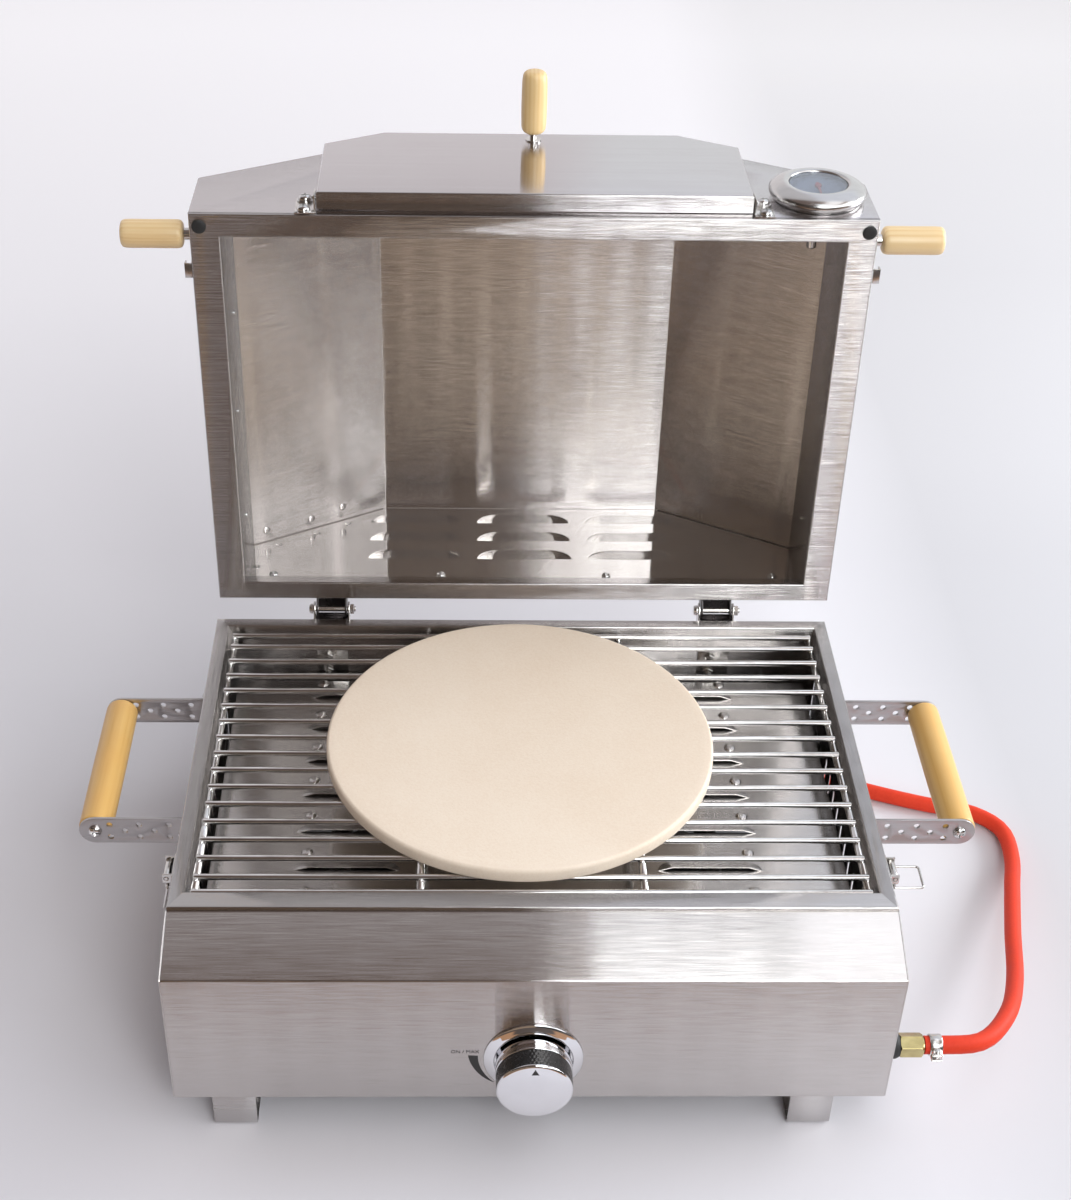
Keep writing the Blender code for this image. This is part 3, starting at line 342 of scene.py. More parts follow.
def glass_material():
    m, nt, b, co = new_material("gauge_glass")
    n = noise_of(nt, co, 300.0, 2, 0.5)
    nt.links.new(ramp(nt, n, [(0.3, (0.84, 0.88, 0.94)), (0.7, (0.88, 0.91, 0.96))]), b.inputs["Base Color"])
    nt.links.new(span(nt, n, 0.12, 0.18), b.inputs["Roughness"])
    b.inputs["Transmission Weight"].default_value = 1.0
    b.inputs["IOR"].default_value = 1.5
    return m


M["stone"] = stone_material()
M["glass"] = glass_material()
M["hose"].node_tree.nodes["Principled BSDF"].inputs["Specular IOR Level"].default_value = 0.2
M["hood_floor"].node_tree.nodes["Principled BSDF"].inputs["Metallic"].default_value = 0.94


# ------------------------------------------------------------------ mesh kit
def faces_from(rings, close_rings, cap):
    bm = bmesh.new()
    vs = [[bm.verts.new(p) for p in ring] for ring in rings]
    n = len(rings[0])
    pairs = list(zip(vs, vs[1:])) + ([(vs[-1], vs[0])] if close_rings else [])
    for a, b in pairs:
        for i in range(n):
            j = (i + 1) % n
            bm.faces.new((a[i], a[j], b[j], b[i]))
    if cap and not close_rings:
        bm.faces.new(vs[0])
        bm.faces.new(vs[-1])
    return bm


def box(x0, x1, y0, y1, z0, z1):
    ring = [(x0, y0), (x1, y0), (x1, y1), (x0, y1)]
    return faces_from([[(x, y, z0) for x, y in ring], [(x, y, z1) for x, y in ring]], False, True)


def prism(outline, axis, a0, a1):
    def at(p, a):
        return {"x": (a, p[0], p[1]), "y": (p[0], a, p[1]), "z": (p[0], p[1], a)}[axis]
    return faces_from([[at(p, a0) for p in outline], [at(p, a1) for p in outline]], False, True)


def frame_of(axis):
    axis = Vector(axis).normalized()
    side = axis.cross(Vector((0, 0, 1)))
    if side.length < 0.1:
        side = axis.cross(Vector((0, 1, 0)))
    side.normalize()
    return axis, side, axis.cross(side)


def turned(profile, base, axis, sides, ripple=None):
    """A turned piece from (radius, height) points. It is solid if it ends on the axis, else a ring."""
    base = Vector(base)
    axis, s, t = frame_of(axis)
    bm = bmesh.new()
    on_axis = profile[0][0] == 0
    rows = []
    for k, (r, h) in enumerate(profile):
        c = base + axis * h
        if r == 0:
            rows.append([bm.verts.new(c)])
            continue
        row = []
        for i in range(sides):
            a = 2 * math.pi * (i + 0.5) / sides
            q = r + (ripple(a, h) if ripple else 0.0)
            row.append(bm.verts.new(c + q * (math.cos(a) * s + math.sin(a) * t)))
        rows.append(row)
    pairs = list(zip(rows, rows[1:])) + ([] if on_axis else [(rows[-1], rows[0])])
    for a, b in pairs:
        for i in range(sides):
            j = (i + 1) % sides
            if len(a) == 1:
                bm.faces.new((a[0], b[j], b[i]))
            elif len(b) == 1:
                bm.faces.new((a[i], a[j], b[0]))
            else:
                bm.faces.new((a[i], a[j], b[j], b[i]))
    return bm


def wire(points, r, sides, closed=False):
    pts = [Vector(p) for p in points]
    n = len(pts)
    rings, last = [], None
    for i, p in enumerate(pts):
        before = pts[i - 1] if (i or closed) else None
        after = pts[(i + 1) % n] if (i < n - 1 or closed) else None
        d0 = (p - before).normalized() if before is not None else None
        d1 = (after - p).normalized() if after is not None else None
        d0, d1 = d0 or d1, d1 or d0
        tangent = (d0 + d1).normalized()
        if last is None:
            _, s, t = frame_of(tangent)
        else:
            s = last - tangent * last.dot(tangent)
            s.normalize()
            t = tangent.cross(s)
        last = s
        rings.append([p + r * (math.cos(a) * s + math.sin(a) * t) for a in (2 * math.pi * (k + 0.5) / sides for k in range(sides))])
    return faces_from(rings, closed, True)


def arc_path(path, radii, steps=6):
    """path with each inner corner rounded to a radius. radii is one number, or one for each inner corner."""
    pts = [Vector(p) for p in path]
    if not hasattr(radii, "__len__"):
        radii = [radii] * (len(pts) - 2)
    out = [tuple(pts[0])]
    for i in range(1, len(pts) - 1):
        p, r = pts[i], radii[i - 1]
        d0, d1 = (pts[i - 1] - p).normalized(), (pts[i + 1] - p).normalized()
        ang = math.acos(max(-1, min(1, d0.dot(d1))))
        if r < 1e-3 or ang > math.pi - 1e-3:
            out.append(tuple(p))
            continue
        cut_len = r / math.tan(ang / 2)
        centre = p + (d0 + d1).normalized() * (r / math.sin(ang / 2))
        a, b = p + d0 * cut_len - centre, p + d1 * cut_len - centre
        turn = math.atan2(a.x * b.y - a.y * b.x, a.dot(b))
        for k in range(steps + 1):
            q = turn * k / steps
            out.append((centre.x + a.x * math.cos(q) - a.y * math.sin(q), centre.y + a.x * math.sin(q) + a.y * math.cos(q)))
    out.append(tuple(pts[-1]))
    return out


def ring_path(path, radii, steps=6):
    """A closed outline with its corners rounded."""
    n = len(path)
    if not hasattr(radii, "__len__"):
        radii = [radii] * n
    out = []
    for i in range(n):
        piece = arc_path([path[i - 1], path[i], path[(i + 1) % n]], [radii[i]], steps)
        out += piece[1:-1]
    return out


def sheet_outline(path, t):
    """Outline of a sheet of thickness t along a rounded path, the sheet lying to the path's right."""
    out = [Vector(p) for p in path]
    inner = []
    for i, p in enumerate(out):
        d0 = (p - out[i - 1]).normalized() if i else (out[1] - p).normalized()
        d1 = (out[i + 1] - p).normalized() if i < len(out) - 1 else d0
        n0, n1 = Vector((d0.y, -d0.x)), Vector((d1.y, -d1.x))
        inner.append(p + (n0 + n1) / (1 + n0.dot(n1)) * t)
    return [tuple(p) for p in out] + [tuple(p) for p in reversed(inner)]


def picture_frame(profile, x0, x1, y0, y1, left, right_, front, back):
    rings = []
    for f, d, h in profile:
        rings.append([(x0 + f * left + d, y0 + f * front + d, h), (x1 - f * right_ - d, y0 + f * front + d, h),
                      (x1 - f * right_ - d, y1 - f * back - d, h), (x0 + f * left + d, y1 - f * back - d, h)])
    return faces_from(rings, True, False)


def capsule(cx, cy, length, width, steps=8, upright=False):
    r = width / 2
    pts = []
    for side in (1, -1):
        for i in range(steps + 1):
            a = -math.pi / 2 + math.pi * i / steps
            pts.append((side * ((length / 2 - r) + r * math.cos(a)), side * r * math.sin(a)))
    return [(cx + q, cy + p) if upright else (cx + p, cy + q) for p, q in pts]


def circle(cx, cy, r, sides):
    return [(cx + r * math.cos(2 * math.pi * i / sides), cy + r * math.sin(2 * math.pi * i / sides)) for i in range(sides)]


def merged(parts):
    bm = bmesh.new()
    for p in parts:
        tmp = bpy.data.meshes.new("tmp")
        p.to_mesh(tmp)
        bm.from_mesh(tmp)
        bpy.data.meshes.remove(tmp)
        p.free()
    return bm


def as_object(bm):
    bmesh.ops.recalc_face_normals(bm, faces=bm.faces)
    me = bpy.data.meshes.new("tmp")
    bm.to_mesh(me)
    bm.free()
    ob = bpy.data.objects.new("tmp", me)
    scene.collection.objects.link(ob)
    return ob


def boolean(bm, other, operation):
    a, b = as_object(bm), as_object(other)
    m = a.modifiers.new("cut", "BOOLEAN")
    m.object, m.operation, m.solver = b, operation, "EXACT"
    bpy.context.view_layer.update()
    me = bpy.data.meshes.new_from_object(a.evaluated_get(bpy.context.evaluated_depsgraph_get()))
    out = bmesh.new()
    out.from_mesh(me)
    for ob in (a, b):
        data = ob.data
        bpy.data.objects.remove(ob, do_unlink=True)
        bpy.data.meshes.remove(data)
    bpy.data.meshes.remove(me)
    return out


def cut(bm, *cutters):
    return boolean(bm, merged(list(cutters)), "DIFFERENCE")


def soften(bm, width, sharp=32, segments=2):
    """Breaks the sharp edges of a drafted mesh with a small round."""
    bmesh.ops.remove_doubles(bm, verts=bm.verts, dist=0.001)
    bmesh.ops.dissolve_limit(bm, angle_limit=math.radians(0.4), verts=bm.verts, edges=bm.edges)
    edges = [e for e in bm.edges if len(e.link_faces) == 2 and e.calc_face_angle(0) > math.radians(sharp)]
    bmesh.ops.bevel(bm, geom=edges, offset=width, offset_type="OFFSET", segments=segments, profile=0.5, affect="EDGES", clamp_overlap=True)
    return bm


def shift(bm, f):
    for v in bm.verts:
        v.co = f(*v.co)
    return bm


def mirror_x(bm):
    for v in bm.verts:
        v.co.x = -v.co.x
    return bm


def piece(name, bm, material, body, where=flat, nodes=(), slot=None, sharp=35, in_metres=False):
    if not in_metres:
        for v in bm.verts:
            v.co = place(where(*v.co))
    bmesh.ops.remove_doubles(bm, verts=bm.verts, dist=2e-6)
    bmesh.ops.recalc_face_normals(bm, faces=bm.faces)
    me = bpy.data.meshes.new(name)
    bm.to_mesh(me)
    bm.free()
    me.shade_smooth()
    me.set_sharp_from_angle(angle=math.radians(sharp))
    for mat in (material if isinstance(material, (list, tuple)) else [material]):
        me.materials.append(mat)
    ob = bpy.data.objects.new(name, me)
    scene.collection.objects.link(ob)
    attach(ob, body)
    if nodes:
        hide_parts(*nodes)
    return ob


def softened_node(node, name, material, body, width=0.35, slot=None, sharp=30, segments=2):
    """A CAD node with its sharp edges broken, in the same place and shape."""
    bm = bmesh.new()
    bm.from_mesh(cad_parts[node].data)
    for v in bm.verts:
        v.co *= 1000.0
    soften(bm, width, sharp, segments)
    for v in bm.verts:
        v.co *= 0.001
    return piece(name, bm, material, body, nodes=[node], slot=slot, in_metres=True, sharp=40)


def pan_head(c, axis, r, h, where_cross=True):
    """A domed screw head with a cross recess."""
    prof = [(0, -0.3), (r * 0.98, -0.3), (r, 0.15), (r * 0.97, 0.35 * h), (r * 0.82, 0.72 * h), (r * 0.55, 0.93 * h), (r * 0.25, h), (0, h)]
    head = turned(prof, c, axis, 24)
    if where_cross:
        ax, s, t = frame_of(axis)
        c = Vector(c)
        arms = []
        for u, v in ((s, t), (t, s)):
            ring = [c + ax * (h * 0.35) + u * a + v * b for a, b in ((-r * 0.58, -r * 0.11), (r * 0.58, -r * 0.11), (r * 0.58, r * 0.11), (-r * 0.58, r * 0.11))]
            ring2 = [p + ax * (h * 0.9) for p in ring]
            arms.append(faces_from([ring, ring2], False, True))
        head = boolean(head, arms[0], "DIFFERENCE")
        head = boolean(head, arms[1], "DIFFERENCE")
    return head


def washer(c, axis, r_in, r_out, t):
    return turned([(r_in, 0), (r_out - 0.15, 0), (r_out, 0.15), (r_out, t - 0.15), (r_out - 0.15, t), (r_in, t)], c, axis, 28)


# ------------------------------------------------------------------ the gas hose, first of all
HOSE_R = 6.8
HOSE_Z = -RIM_H + HOSE_R
ROUTE = [(288.3, INLET_Y, INLET_Z), (304, INLET_Y, INLET_Z), (333, -32, -106), (361, 1, -114), (380.5, 48, -128),
         (398.5, 118, -146), (417, 188, -161), (429, 236, -169), (428, 272, HOSE_Z), (405, 294, HOSE_Z),
         (372, 303, HOSE_Z), (345.6, 312, HOSE_Z), (320.7, 321.5, HOSE_Z), (283, 337, HOSE_Z), (236, 356, HOSE_Z),
         (175, 378, HOSE_Z), (95, 398, HOSE_Z), (10, 409, HOSE_Z), (-70, 413, HOSE_Z)]


def smooth_route(points, step):
    """A smooth curve through the route's points, read every step mm."""
    pts = [Vector(p) for p in points]
    ext = [2 * pts[0] - pts[1], *pts, 2 * pts[-1] - pts[-2]]
    fine = []
    for i in range(1, len(ext) - 2):
        p0, p1, p2, p3 = ext[i - 1:i + 3]
        t0, t1 = 0.0, (p1 - p0).length ** 0.5
        t2 = t1 + (p2 - p1).length ** 0.5
        t3 = t2 + (p3 - p2).length ** 0.5
        for k in range(40):
            t = t1 + (t2 - t1) * k / 40
            a1 = (t1 - t) / (t1 - t0) * p0 + (t - t0) / (t1 - t0) * p1
            a2 = (t2 - t) / (t2 - t1) * p1 + (t - t1) / (t2 - t1) * p2
            a3 = (t3 - t) / (t3 - t2) * p2 + (t - t2) / (t3 - t2) * p3
            b1 = (t2 - t) / (t2 - t0) * a1 + (t - t0) / (t2 - t0) * a2
            b2 = (t3 - t) / (t3 - t1) * a2 + (t - t1) / (t3 - t1) * a3
            fine.append((t2 - t) / (t2 - t1) * b1 + (t - t1) / (t2 - t1) * b2)
    fine.append(pts[-1])
    for _ in range(60):
        fine = [fine[0]] + [(fine[i - 1] + 2 * fine[i] + fine[i + 1]) / 4 for i in range(1, len(fine) - 1)] + [fine[-1]]
    total = sum((b - a).length for a, b in zip(fine, fine[1:]))
    count = max(2, round(total / step))
    out, walked, target = [fine[0]], 0.0, total / count
    for a, b in zip(fine, fine[1:]):
        leg = (b - a).length
        while walked + leg >= target and len(out) < count:
            out.append(a + (b - a) * ((target - walked) / leg))
            target += total / count
        walked += leg
    return out + [fine[-1]], total


points, hose_length = smooth_route(ROUTE, 9)
curve = bpy.data.curves.new("hose", "CURVE")
curve.dimensions = "3D"
curve.bevel_depth = HOSE_R * 0.001
curve.bevel_resolution = 7
curve.use_fill_caps = True
line = curve.splines.new("POLY")
line.points.add(len(points) - 1)
for pt, p in zip(line.points, points):
    pt.co = (*place((p.x, p.y, max(p.z, HOSE_Z))), 1)
curve.materials.append(M["hose"])
hose = bpy.data.objects.new("hose", curve)
scene.collection.objects.link(hose)
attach(hose, "base")
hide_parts("gas_hose")

# ------------------------------------------------------------------ base panels
T = 1.0
face_path = [(12, -3.3), (0.6, -3.3), (-50.5, -21.9), (-50.5, -145.7), (-36, -145.7)]
face_path = arc_path(face_path[::-1], [1.6, 2.0, 2.0], 6)
front = prism(sheet_outline(face_path, T), "x", -262.3, 262.3)
knob_hole = turned([(0, -10), (7, -10), (7, 10), (0, 10)], (KNOB_X, PANEL_Y, KNOB_Z), (0, 1, 0), 40)
front = cut(front, knob_hole)
cheek = ring_path([(12, -3.5), (0.4, -3.5), (-50.3, -22.05), (-50.3, -145.5), (12, -145.5)], [0.3, 1.2, 1.6, 1.6, 0.3], 5)
inlet_hole = turned([(0, -20), (8.2, -20), (8.2, 20), (0, 20)], (262, INLET_Y, INLET_Z), (1, 0, 0), 32)
right_cheek = soften(cut(prism(cheek, "x", 262.4, 263.5), inlet_hole), 0.25)
left_cheek = soften(prism(cheek, "x", -263.5, -262.4), 0.25)
piece("front_panel", merged([front, right_cheek, left_cheek]), M["panel"], "base", nodes=["base_front_panel"], slot="steel")

h = RIM_W / 2
R = 1.3
arc = [(R * (1 - math.cos(a)), R * (1 - math.sin(a))) for a in (math.pi / 2 * i / 5 for i in range(6))]
rim_profile = [(0, 0, -3)] + [(0, d, -(e)) for d, e in arc] + [(1, -d, -e) for d, e in reversed(arc)] + [(1, 0, -25.0)]
rim_profile += [(1, -1, -25.0), (1, -1, -1.4), (0, 1, -1.4), (0, 1, -3)]
rim = picture_frame(rim_profile, -h, h, 0, RIM_D, 11.0, 11.0, 16.0, 10.5)
for f in rim.faces:
    c = f.calc_center_median()
    f.material_index = 1 if abs(c.x) > h - 13.5 and 8 < c.y < RIM_D - 8 else 0
rests = [box(min(a, b), max(a, b), y, y + 8, -12.5, -11.25) for a, b in ((-251.8, -243.0), (243.0, 251.8)) for y in (25, 321)]
piece("rim_frame", merged([rim, *rests]), [M["rim"], M["rim_side"]], "base", nodes=["base_rim_frame"], slot="steel")

for side in ("left", "right"):
    softened_node(f"base_{side}_side_panel", f"{side}_side_panel", M["side"], "base", 0.3, "steel")
softened_node("base_rear_panel", "rear_panel", M["panel"], "base", 0.3, "steel")
for end in ("front_left", "front_right", "rear_left", "rear_right"):
    softened_node(f"foot_{end}", f"foot_strap_{end}", M["foot"], "base", 0.3, "steel")

# hinge backing plates and nuts inside the rear panel, small panel screws outside
plates = []
for cx in (-164.5, 168.5):
    plates.append(soften(box(cx - 13.5, cx + 13.5, 347.4, 348.7, -62, -30), 0.3))
    plates.append(turned([(0, 0), (4.6, 0), (5.0, 0.5), (5.0, 3.6), (4.6, 4.0), (2.6, 4.0), (2.6, 6.5), (2.2, 7), (0, 7)], (cx - 4, 347.6, -53), (0, -1, 0), 6))
    plates.append(turned([(0, 0), (4.6, 0), (5.0, 0.5), (5.0, 3.6), (4.6, 4.0), (2.6, 4.0), (2.6, 6.5), (2.2, 7), (0, 7)], (cx - 4, 347.6, -38), (0, -1, 0), 6))
piece("hinge_backing_plates", merged(plates), M["nickel"], "base", slot="bright_steel")

# ------------------------------------------------------------------ knob, its bezel, and the printed flame scale
bezel = [(7.6, 0.3), (36.0, 0.3), (36.35, 0.6), (36.35, 1.1), (36.0, 1.5), (34.2, 2.1), (31.8, 3.05), (30.2, 3.65), (29.4, 3.8), (28.8, 3.65),
         (28.45, 3.2), (28.4, 1.5), (7.6, 1.5)]
piece("bezel_ring", turned(bezel, (KNOB_X, PANEL_Y, KNOB_Z), (0, -1, 0), 96), M["chrome"], "base", nodes=["knob_bezel"], slot="chrome", sharp=50)
body = [(4.3, 27), (4.3, 6.4), (26.8, 6.4), (27.6, 6.7), (27.95, 7.4), (27.95, 14.6), (27.7, 15.1), (27.1, 15.3), (27.1, 29.3), (27.4, 29.5)]
body += [(25.0 + 2.6 * math.cos(a), 29.6 + 1.9 * math.sin(a)) for a in (math.pi / 2 * i / 9 for i in range(10))]
body += [(25.0 * (1 - i / 12), 33.0 - 1.5 * (1 - i / 12) ** 4) for i in range(1, 12)] + [(0, 33.0)]
piece("knob_body", turned([(0, 27)] + body, (KNOB_X, PANEL_Y, KNOB_Z), (0, -1, 0), 112), M["chrome"], "control_knob", nodes=["control_knob"], slot="chrome", sharp=50)
rows = 15
band = [(26.9, 15.45)] + [(27.35, 15.6 + 13.5 * i / rows) for i in range(rows + 1)] + [(26.9, 29.25)]


def diamond(a, t):
    if t < 15.5 or t > 29.2:
        return 0.0
    u, w = a * 60 / (2 * math.pi), t / 2.82
    return 0.32 * abs(math.sin(math.pi * (u + w / 2)) * math.sin(math.pi * (u - w / 2))) ** 0.6


band_mesh = turned(band + [(26.2, 29.25), (26.2, 15.45)], (KNOB_X, PANEL_Y, KNOB_Z), (0, -1, 0), 300, lambda a, t: diamond(a, t))
piece("knob_grip_band", band_mesh, M["knurl"], "control_knob", slot="rubber", sharp=60)
mark = prism([(KNOB_X, KNOB_Z + 23.6), (KNOB_X - 2.8, KNOB_Z + 19.2), (KNOB_X + 2.8, KNOB_Z + 19.2)], "y", PANEL_Y - 32.6, PANEL_Y - 31.5)
piece("knob_pointer", mark, M["print"], "control_knob", slot="rubber")

arc_in, arc_out, n = 40.4, 47.6, 40
pts_out, pts_in = [], []
for i in range(n + 1):
    f = i / n
    a = math.radians(176.5 + 46.5 * f)  # from 9 o'clock down towards the knob's underside
    inner = arc_in - 1.8 * f
    width = (arc_out - arc_in) * (1 - f) ** 0.8
    pts_in.append((KNOB_X + inner * math.cos(a), KNOB_Z + inner * math.sin(a)))
    pts_out.append((KNOB_X + (inner + width) * math.cos(a), KNOB_Z + (inner + width) * math.sin(a)))
bm = bmesh.new()
lo = [bm.verts.new((x, PANEL_Y - 0.12, z)) for x, z in pts_in[:-1]]
hi = [bm.verts.new((x, PANEL_Y - 0.12, z)) for x, z in pts_out[:-1]]
tip = bm.verts.new((pts_in[-1][0], PANEL_Y - 0.12, pts_in[-1][1]))
for i in range(n - 1):
    bm.faces.new((lo[i], hi[i], hi[i + 1], lo[i + 1]))
bm.faces.new((lo[-1], hi[-1], tip))
ext = bmesh.ops.extrude_face_region(bm, geom=bm.faces[:])
for v in [g for g in ext["geom"] if isinstance(g, bmesh.types.BMVert)]:
    v.co.y += 0.1
piece("flame_scale", bm, M["print"], "base", slot="rubber")

text = bpy.data.curves.new("max_text", "FONT")
text.body = "ON / MAX"
text.size = 4.5
text.extrude = 0.05
text_ob = bpy.data.objects.new("max_text_src", text)
scene.collection.objects.link(text_ob)
bpy.context.view_layer.update()
me = bpy.data.meshes.new_from_object(text_ob.evaluated_get(bpy.context.evaluated_depsgraph_get()))
bpy.data.objects.remove(text_ob, do_unlink=True)
bm = bmesh.new()
bm.from_mesh(me)
width = max(v.co.x for v in bm.verts)
shift(bm, lambda x, y, z: (KNOB_X - 39.5 - width + x, PANEL_Y - 0.08 - z, KNOB_Z + 5.3 + y))
piece("max_text", bm, M["print"], "base", slot="rubber")

# ------------------------------------------------------------------ gas inlet: grommet, nut, clamp
grommet = [(5.4, -2.6), (7.9, -2.6), (7.9, 1.4), (9.6, 1.4), (10, 1.9), (10, 4.2), (9.6, 4.9), (8.9, 6.6), (8.5, 6.9), (5.4, 6.9)]
piece("inlet_grommet", turned(grommet, (262.4, INLET_Y, INLET_Z), (1, 0, 0), 40), M["rubber"], "base", nodes=["gas_inlet_grommet"], slot="rubber")
hexagon = [(9.2 * math.cos(math.radians(60 * i + 30)), 9.2 * math.sin(math.radians(60 * i + 30))) for i in range(6)]
nut = prism([(INLET_Y + a, INLET_Z + b) for a, b in ring_path(hexagon, 0.5, 3)], "x", 269.8, 286.3)
cone = turned([(0, -0.2), (7.9, -0.2), (9.6, 1.1), (9.6, 15.6), (7.9, 16.9), (0, 16.9)], (269.7, INLET_Y, INLET_Z), (1, 0, 0), 48)
nut = boolean(nut, cone, "INTERSECT")
collar = turned([(0, 0), (6.0, 0), (6.4, 0.4), (6.4, 1.2), (6.0, 1.7), (0, 1.7)], (286.25, INLET_Y, INLET_Z), (1, 0, 0), 40)
groove = turned([(7.0, 0), (8.05, 0), (8.05, 0.5), (7.0, 0.5)], (286.2, INLET_Y, INLET_Z), (1, 0, 0), 40)
piece("inlet_nut", merged([nut, collar, groove]), M["brass"], "base", nodes=["gas_inlet_nut"], slot="brass", sharp=28)
band = turned([(7.0, 0), (7.9, 0), (8.15, 0.4), (8.15, 8.6), (7.9, 9), (7.0, 9)], (291.6, INLET_Y, INLET_Z), (1, 0, 0), 48)
ears = [soften(box(292.4, 299.8, INLET_Y - 12.2, INLET_Y - 7.4, INLET_Z + z0, INLET_Z + z1), 0.4) for z0, z1 in ((-3.6, -2.4), (1.6, 2.8))]
bolt = [turned([(0, 0), (2.9, 0), (3.3, 0.4), (3.2, 1.5), (2.3, 2.3), (0, 2.6)], (296.1, INLET_Y - 9.8, INLET_Z + 2.8), (0, 0, 1), 20),
        turned([(0, 0), (1.6, 0), (1.6, 7.6), (0, 7.6)], (296.1, INLET_Y - 9.8, INLET_Z - 4.0), (0, 0, 1), 16),
        turned([(0, 0), (2.7, 0), (2.9, 0.2), (2.9, 0.8), (2.7, 1.0), (0, 1.0)], (296.1, INLET_Y - 9.8, INLET_Z - 3.5), (0, 0, -1), 6)]
piece("clamp", merged([band, *ears, *bolt]), M["nickel"], "base", nodes=["hose_clamp"], slot="bright_steel")

# ------------------------------------------------------------------ carry handles
ARM_Z, GRIP_X = -20.7, 331.0
for side, s in (("left", -1), ("right", 1)):
    for end in ("front", "rear"):
        softened_node(f"side_handle_arm_{side}_{end}", f"arm_{side}_{end}", M["arm"], "base", 0.28, "steel")
    prof = [(0, 0), (11.2, 0), (12.1, 0.3), (12.6, 1.0), (12.75, 2.2)]
    prof += [(12.75 + 0.18 * math.sin(math.pi * i / 12), 2.2 + 138.5 * i / 12) for i in range(1, 12)]
    prof += [(12.75, 140.7), (12.6, 141.9), (12.1, 142.6), (11.2, 142.9), (0, 142.9)]
    piece(f"grip_{side}", turned(prof, (s * GRIP_X, 105.3, ARM_Z), (0, 1, 0), 64), M["grip"], "base", nodes=[f"side_handle_grip_{side}"], slot="wood")
    heads = [pan_head((s * GRIP_X, 103.0, ARM_Z), (0, -1, 0), 5.2, 3.2), pan_head((s * GRIP_X, 250.5, ARM_Z), (0, 1, 0), 5.2, 3.2)]
    for y in (93.5, 260.0):
        heads += [pan_head((s * 264.5, y, ARM_Z + dz), (s, 0, 0), 3.0, 1.8) for dz in (-6, 6)]
    piece(f"handle_screws_{side}", merged(heads), M["screw"], "base", slot="bright_steel")

# ------------------------------------------------------------------ latches
for side, s in (("left", -1), ("right", 1)):
    softened_node(f"latch_plate_{side}", f"latch_base_{side}", M["nickel"], "base", 0.2, "bright_steel")
    softened_node(f"latch_lever_{side}", f"latch_handle_{side}", M["nickel"], f"latch_lever_{side}", 0.2, "bright_steel")
    rivets = [turned([(0, 0), (2.2, 0), (2.1, 0.6), (1.3, 1.1), (0, 1.25)], (s * (SIDE_X + 1.5), 47.5 + y, z), (s, 0, 0), 20) for y, z in ((-9, -22), (9, -22), (0, -46))]
    piece(f"latch_rivets_{side}", merged(rivets), M["screw"], "base", slot="bright_steel")
    softened_node(f"latch_keeper_{side}", f"keeper_hook_{side}", M["nickel"], "hood", 0.2, "bright_steel")
    BAIL, PIN_D, PIN_Z = 22.5, 5.0, -15.0
    a = math.radians(0 if s > 0 else -78)
    ca, sa = math.cos(a), math.sin(a)
    half = arc_path([(0, 7.2), (0, 11.3), (BAIL, 11.3), (BAIL, 0)], [1.3, 2.6], 6)
    shape = half[:-1] + [(l, -y) for l, y in reversed(half[:-1])]
    bail = wire([(s * (SIDE_X + PIN_D + l * ca), 47.5 + y, PIN_Z + l * sa) for l, y in shape], 1.0, 14)
    piece(f"bail_{side}", bail, M["nickel"], f"latch_bail_{side}", nodes=[f"latch_bail_{side}"], slot="bright_steel")

# ------------------------------------------------------------------ hinges
for side, cx in (("left", -164.5), ("right", 168.5)):
    softened_node(f"hinge_base_bracket_{side}", f"hinge_lower_{side}", M["nickel"], "base", 0.22, "dark_steel")
    # the upper bracket and the tray under the pin are coloured near-black as painted shade for the hinge's shadowed
    # inside
    softened_node(f"hinge_lid_bracket_{side}", f"hinge_upper_{side}", M["painted_shade_plate"], "hood", 0.22, "dark_steel")
    shaft = [(0, -19.6), (2.4, -19.6), (3.6, -19.2), (4.3, -18.2), (4.5, -17.2), (4.5, -16.0), (2.5, -15.9), (2.5, 15.9), (2.5, 20.2), (2.2, 20.6), (0, 20.6)]
    shaft = turned(shaft, (cx, HINGE_Y, HINGE_Z), (1, 0, 0), 32)
    hexa = turned([(0, 0), (4.3, 0), (4.8, 0.5), (4.8, 2.9), (4.3, 3.3), (0, 3.3)], (cx + 15.9, HINGE_Y, HINGE_Z), (1, 0, 0), 6)
    piece(f"hinge_pin_{side}", merged([shaft, hexa]), M["nickel"], "base", nodes=[f"hinge_bolt_{side}"], slot="bright_steel", sharp=28)
    tray = merged([soften(box(cx - 13.9, cx + 13.9, 351.4, 366.0, -8.6, -7.2), 0.2), soften(box(cx - 13.9, cx + 13.9, 364.8, 366.0, -7.4, -4.6), 0.2)])
    piece(f"hinge_tray_{side}", tray, M["painted_shade_plate"], "base", slot="dark_steel")
    heads = [pan_head((cx + x, 351.6, z), (0, 1, 0), 2.6, 1.6) for x, z in ((-7, -13), (7, -13))]
    piece(f"hinge_screws_{side}", merged(heads), M["screw"], "base", slot="bright_steel")

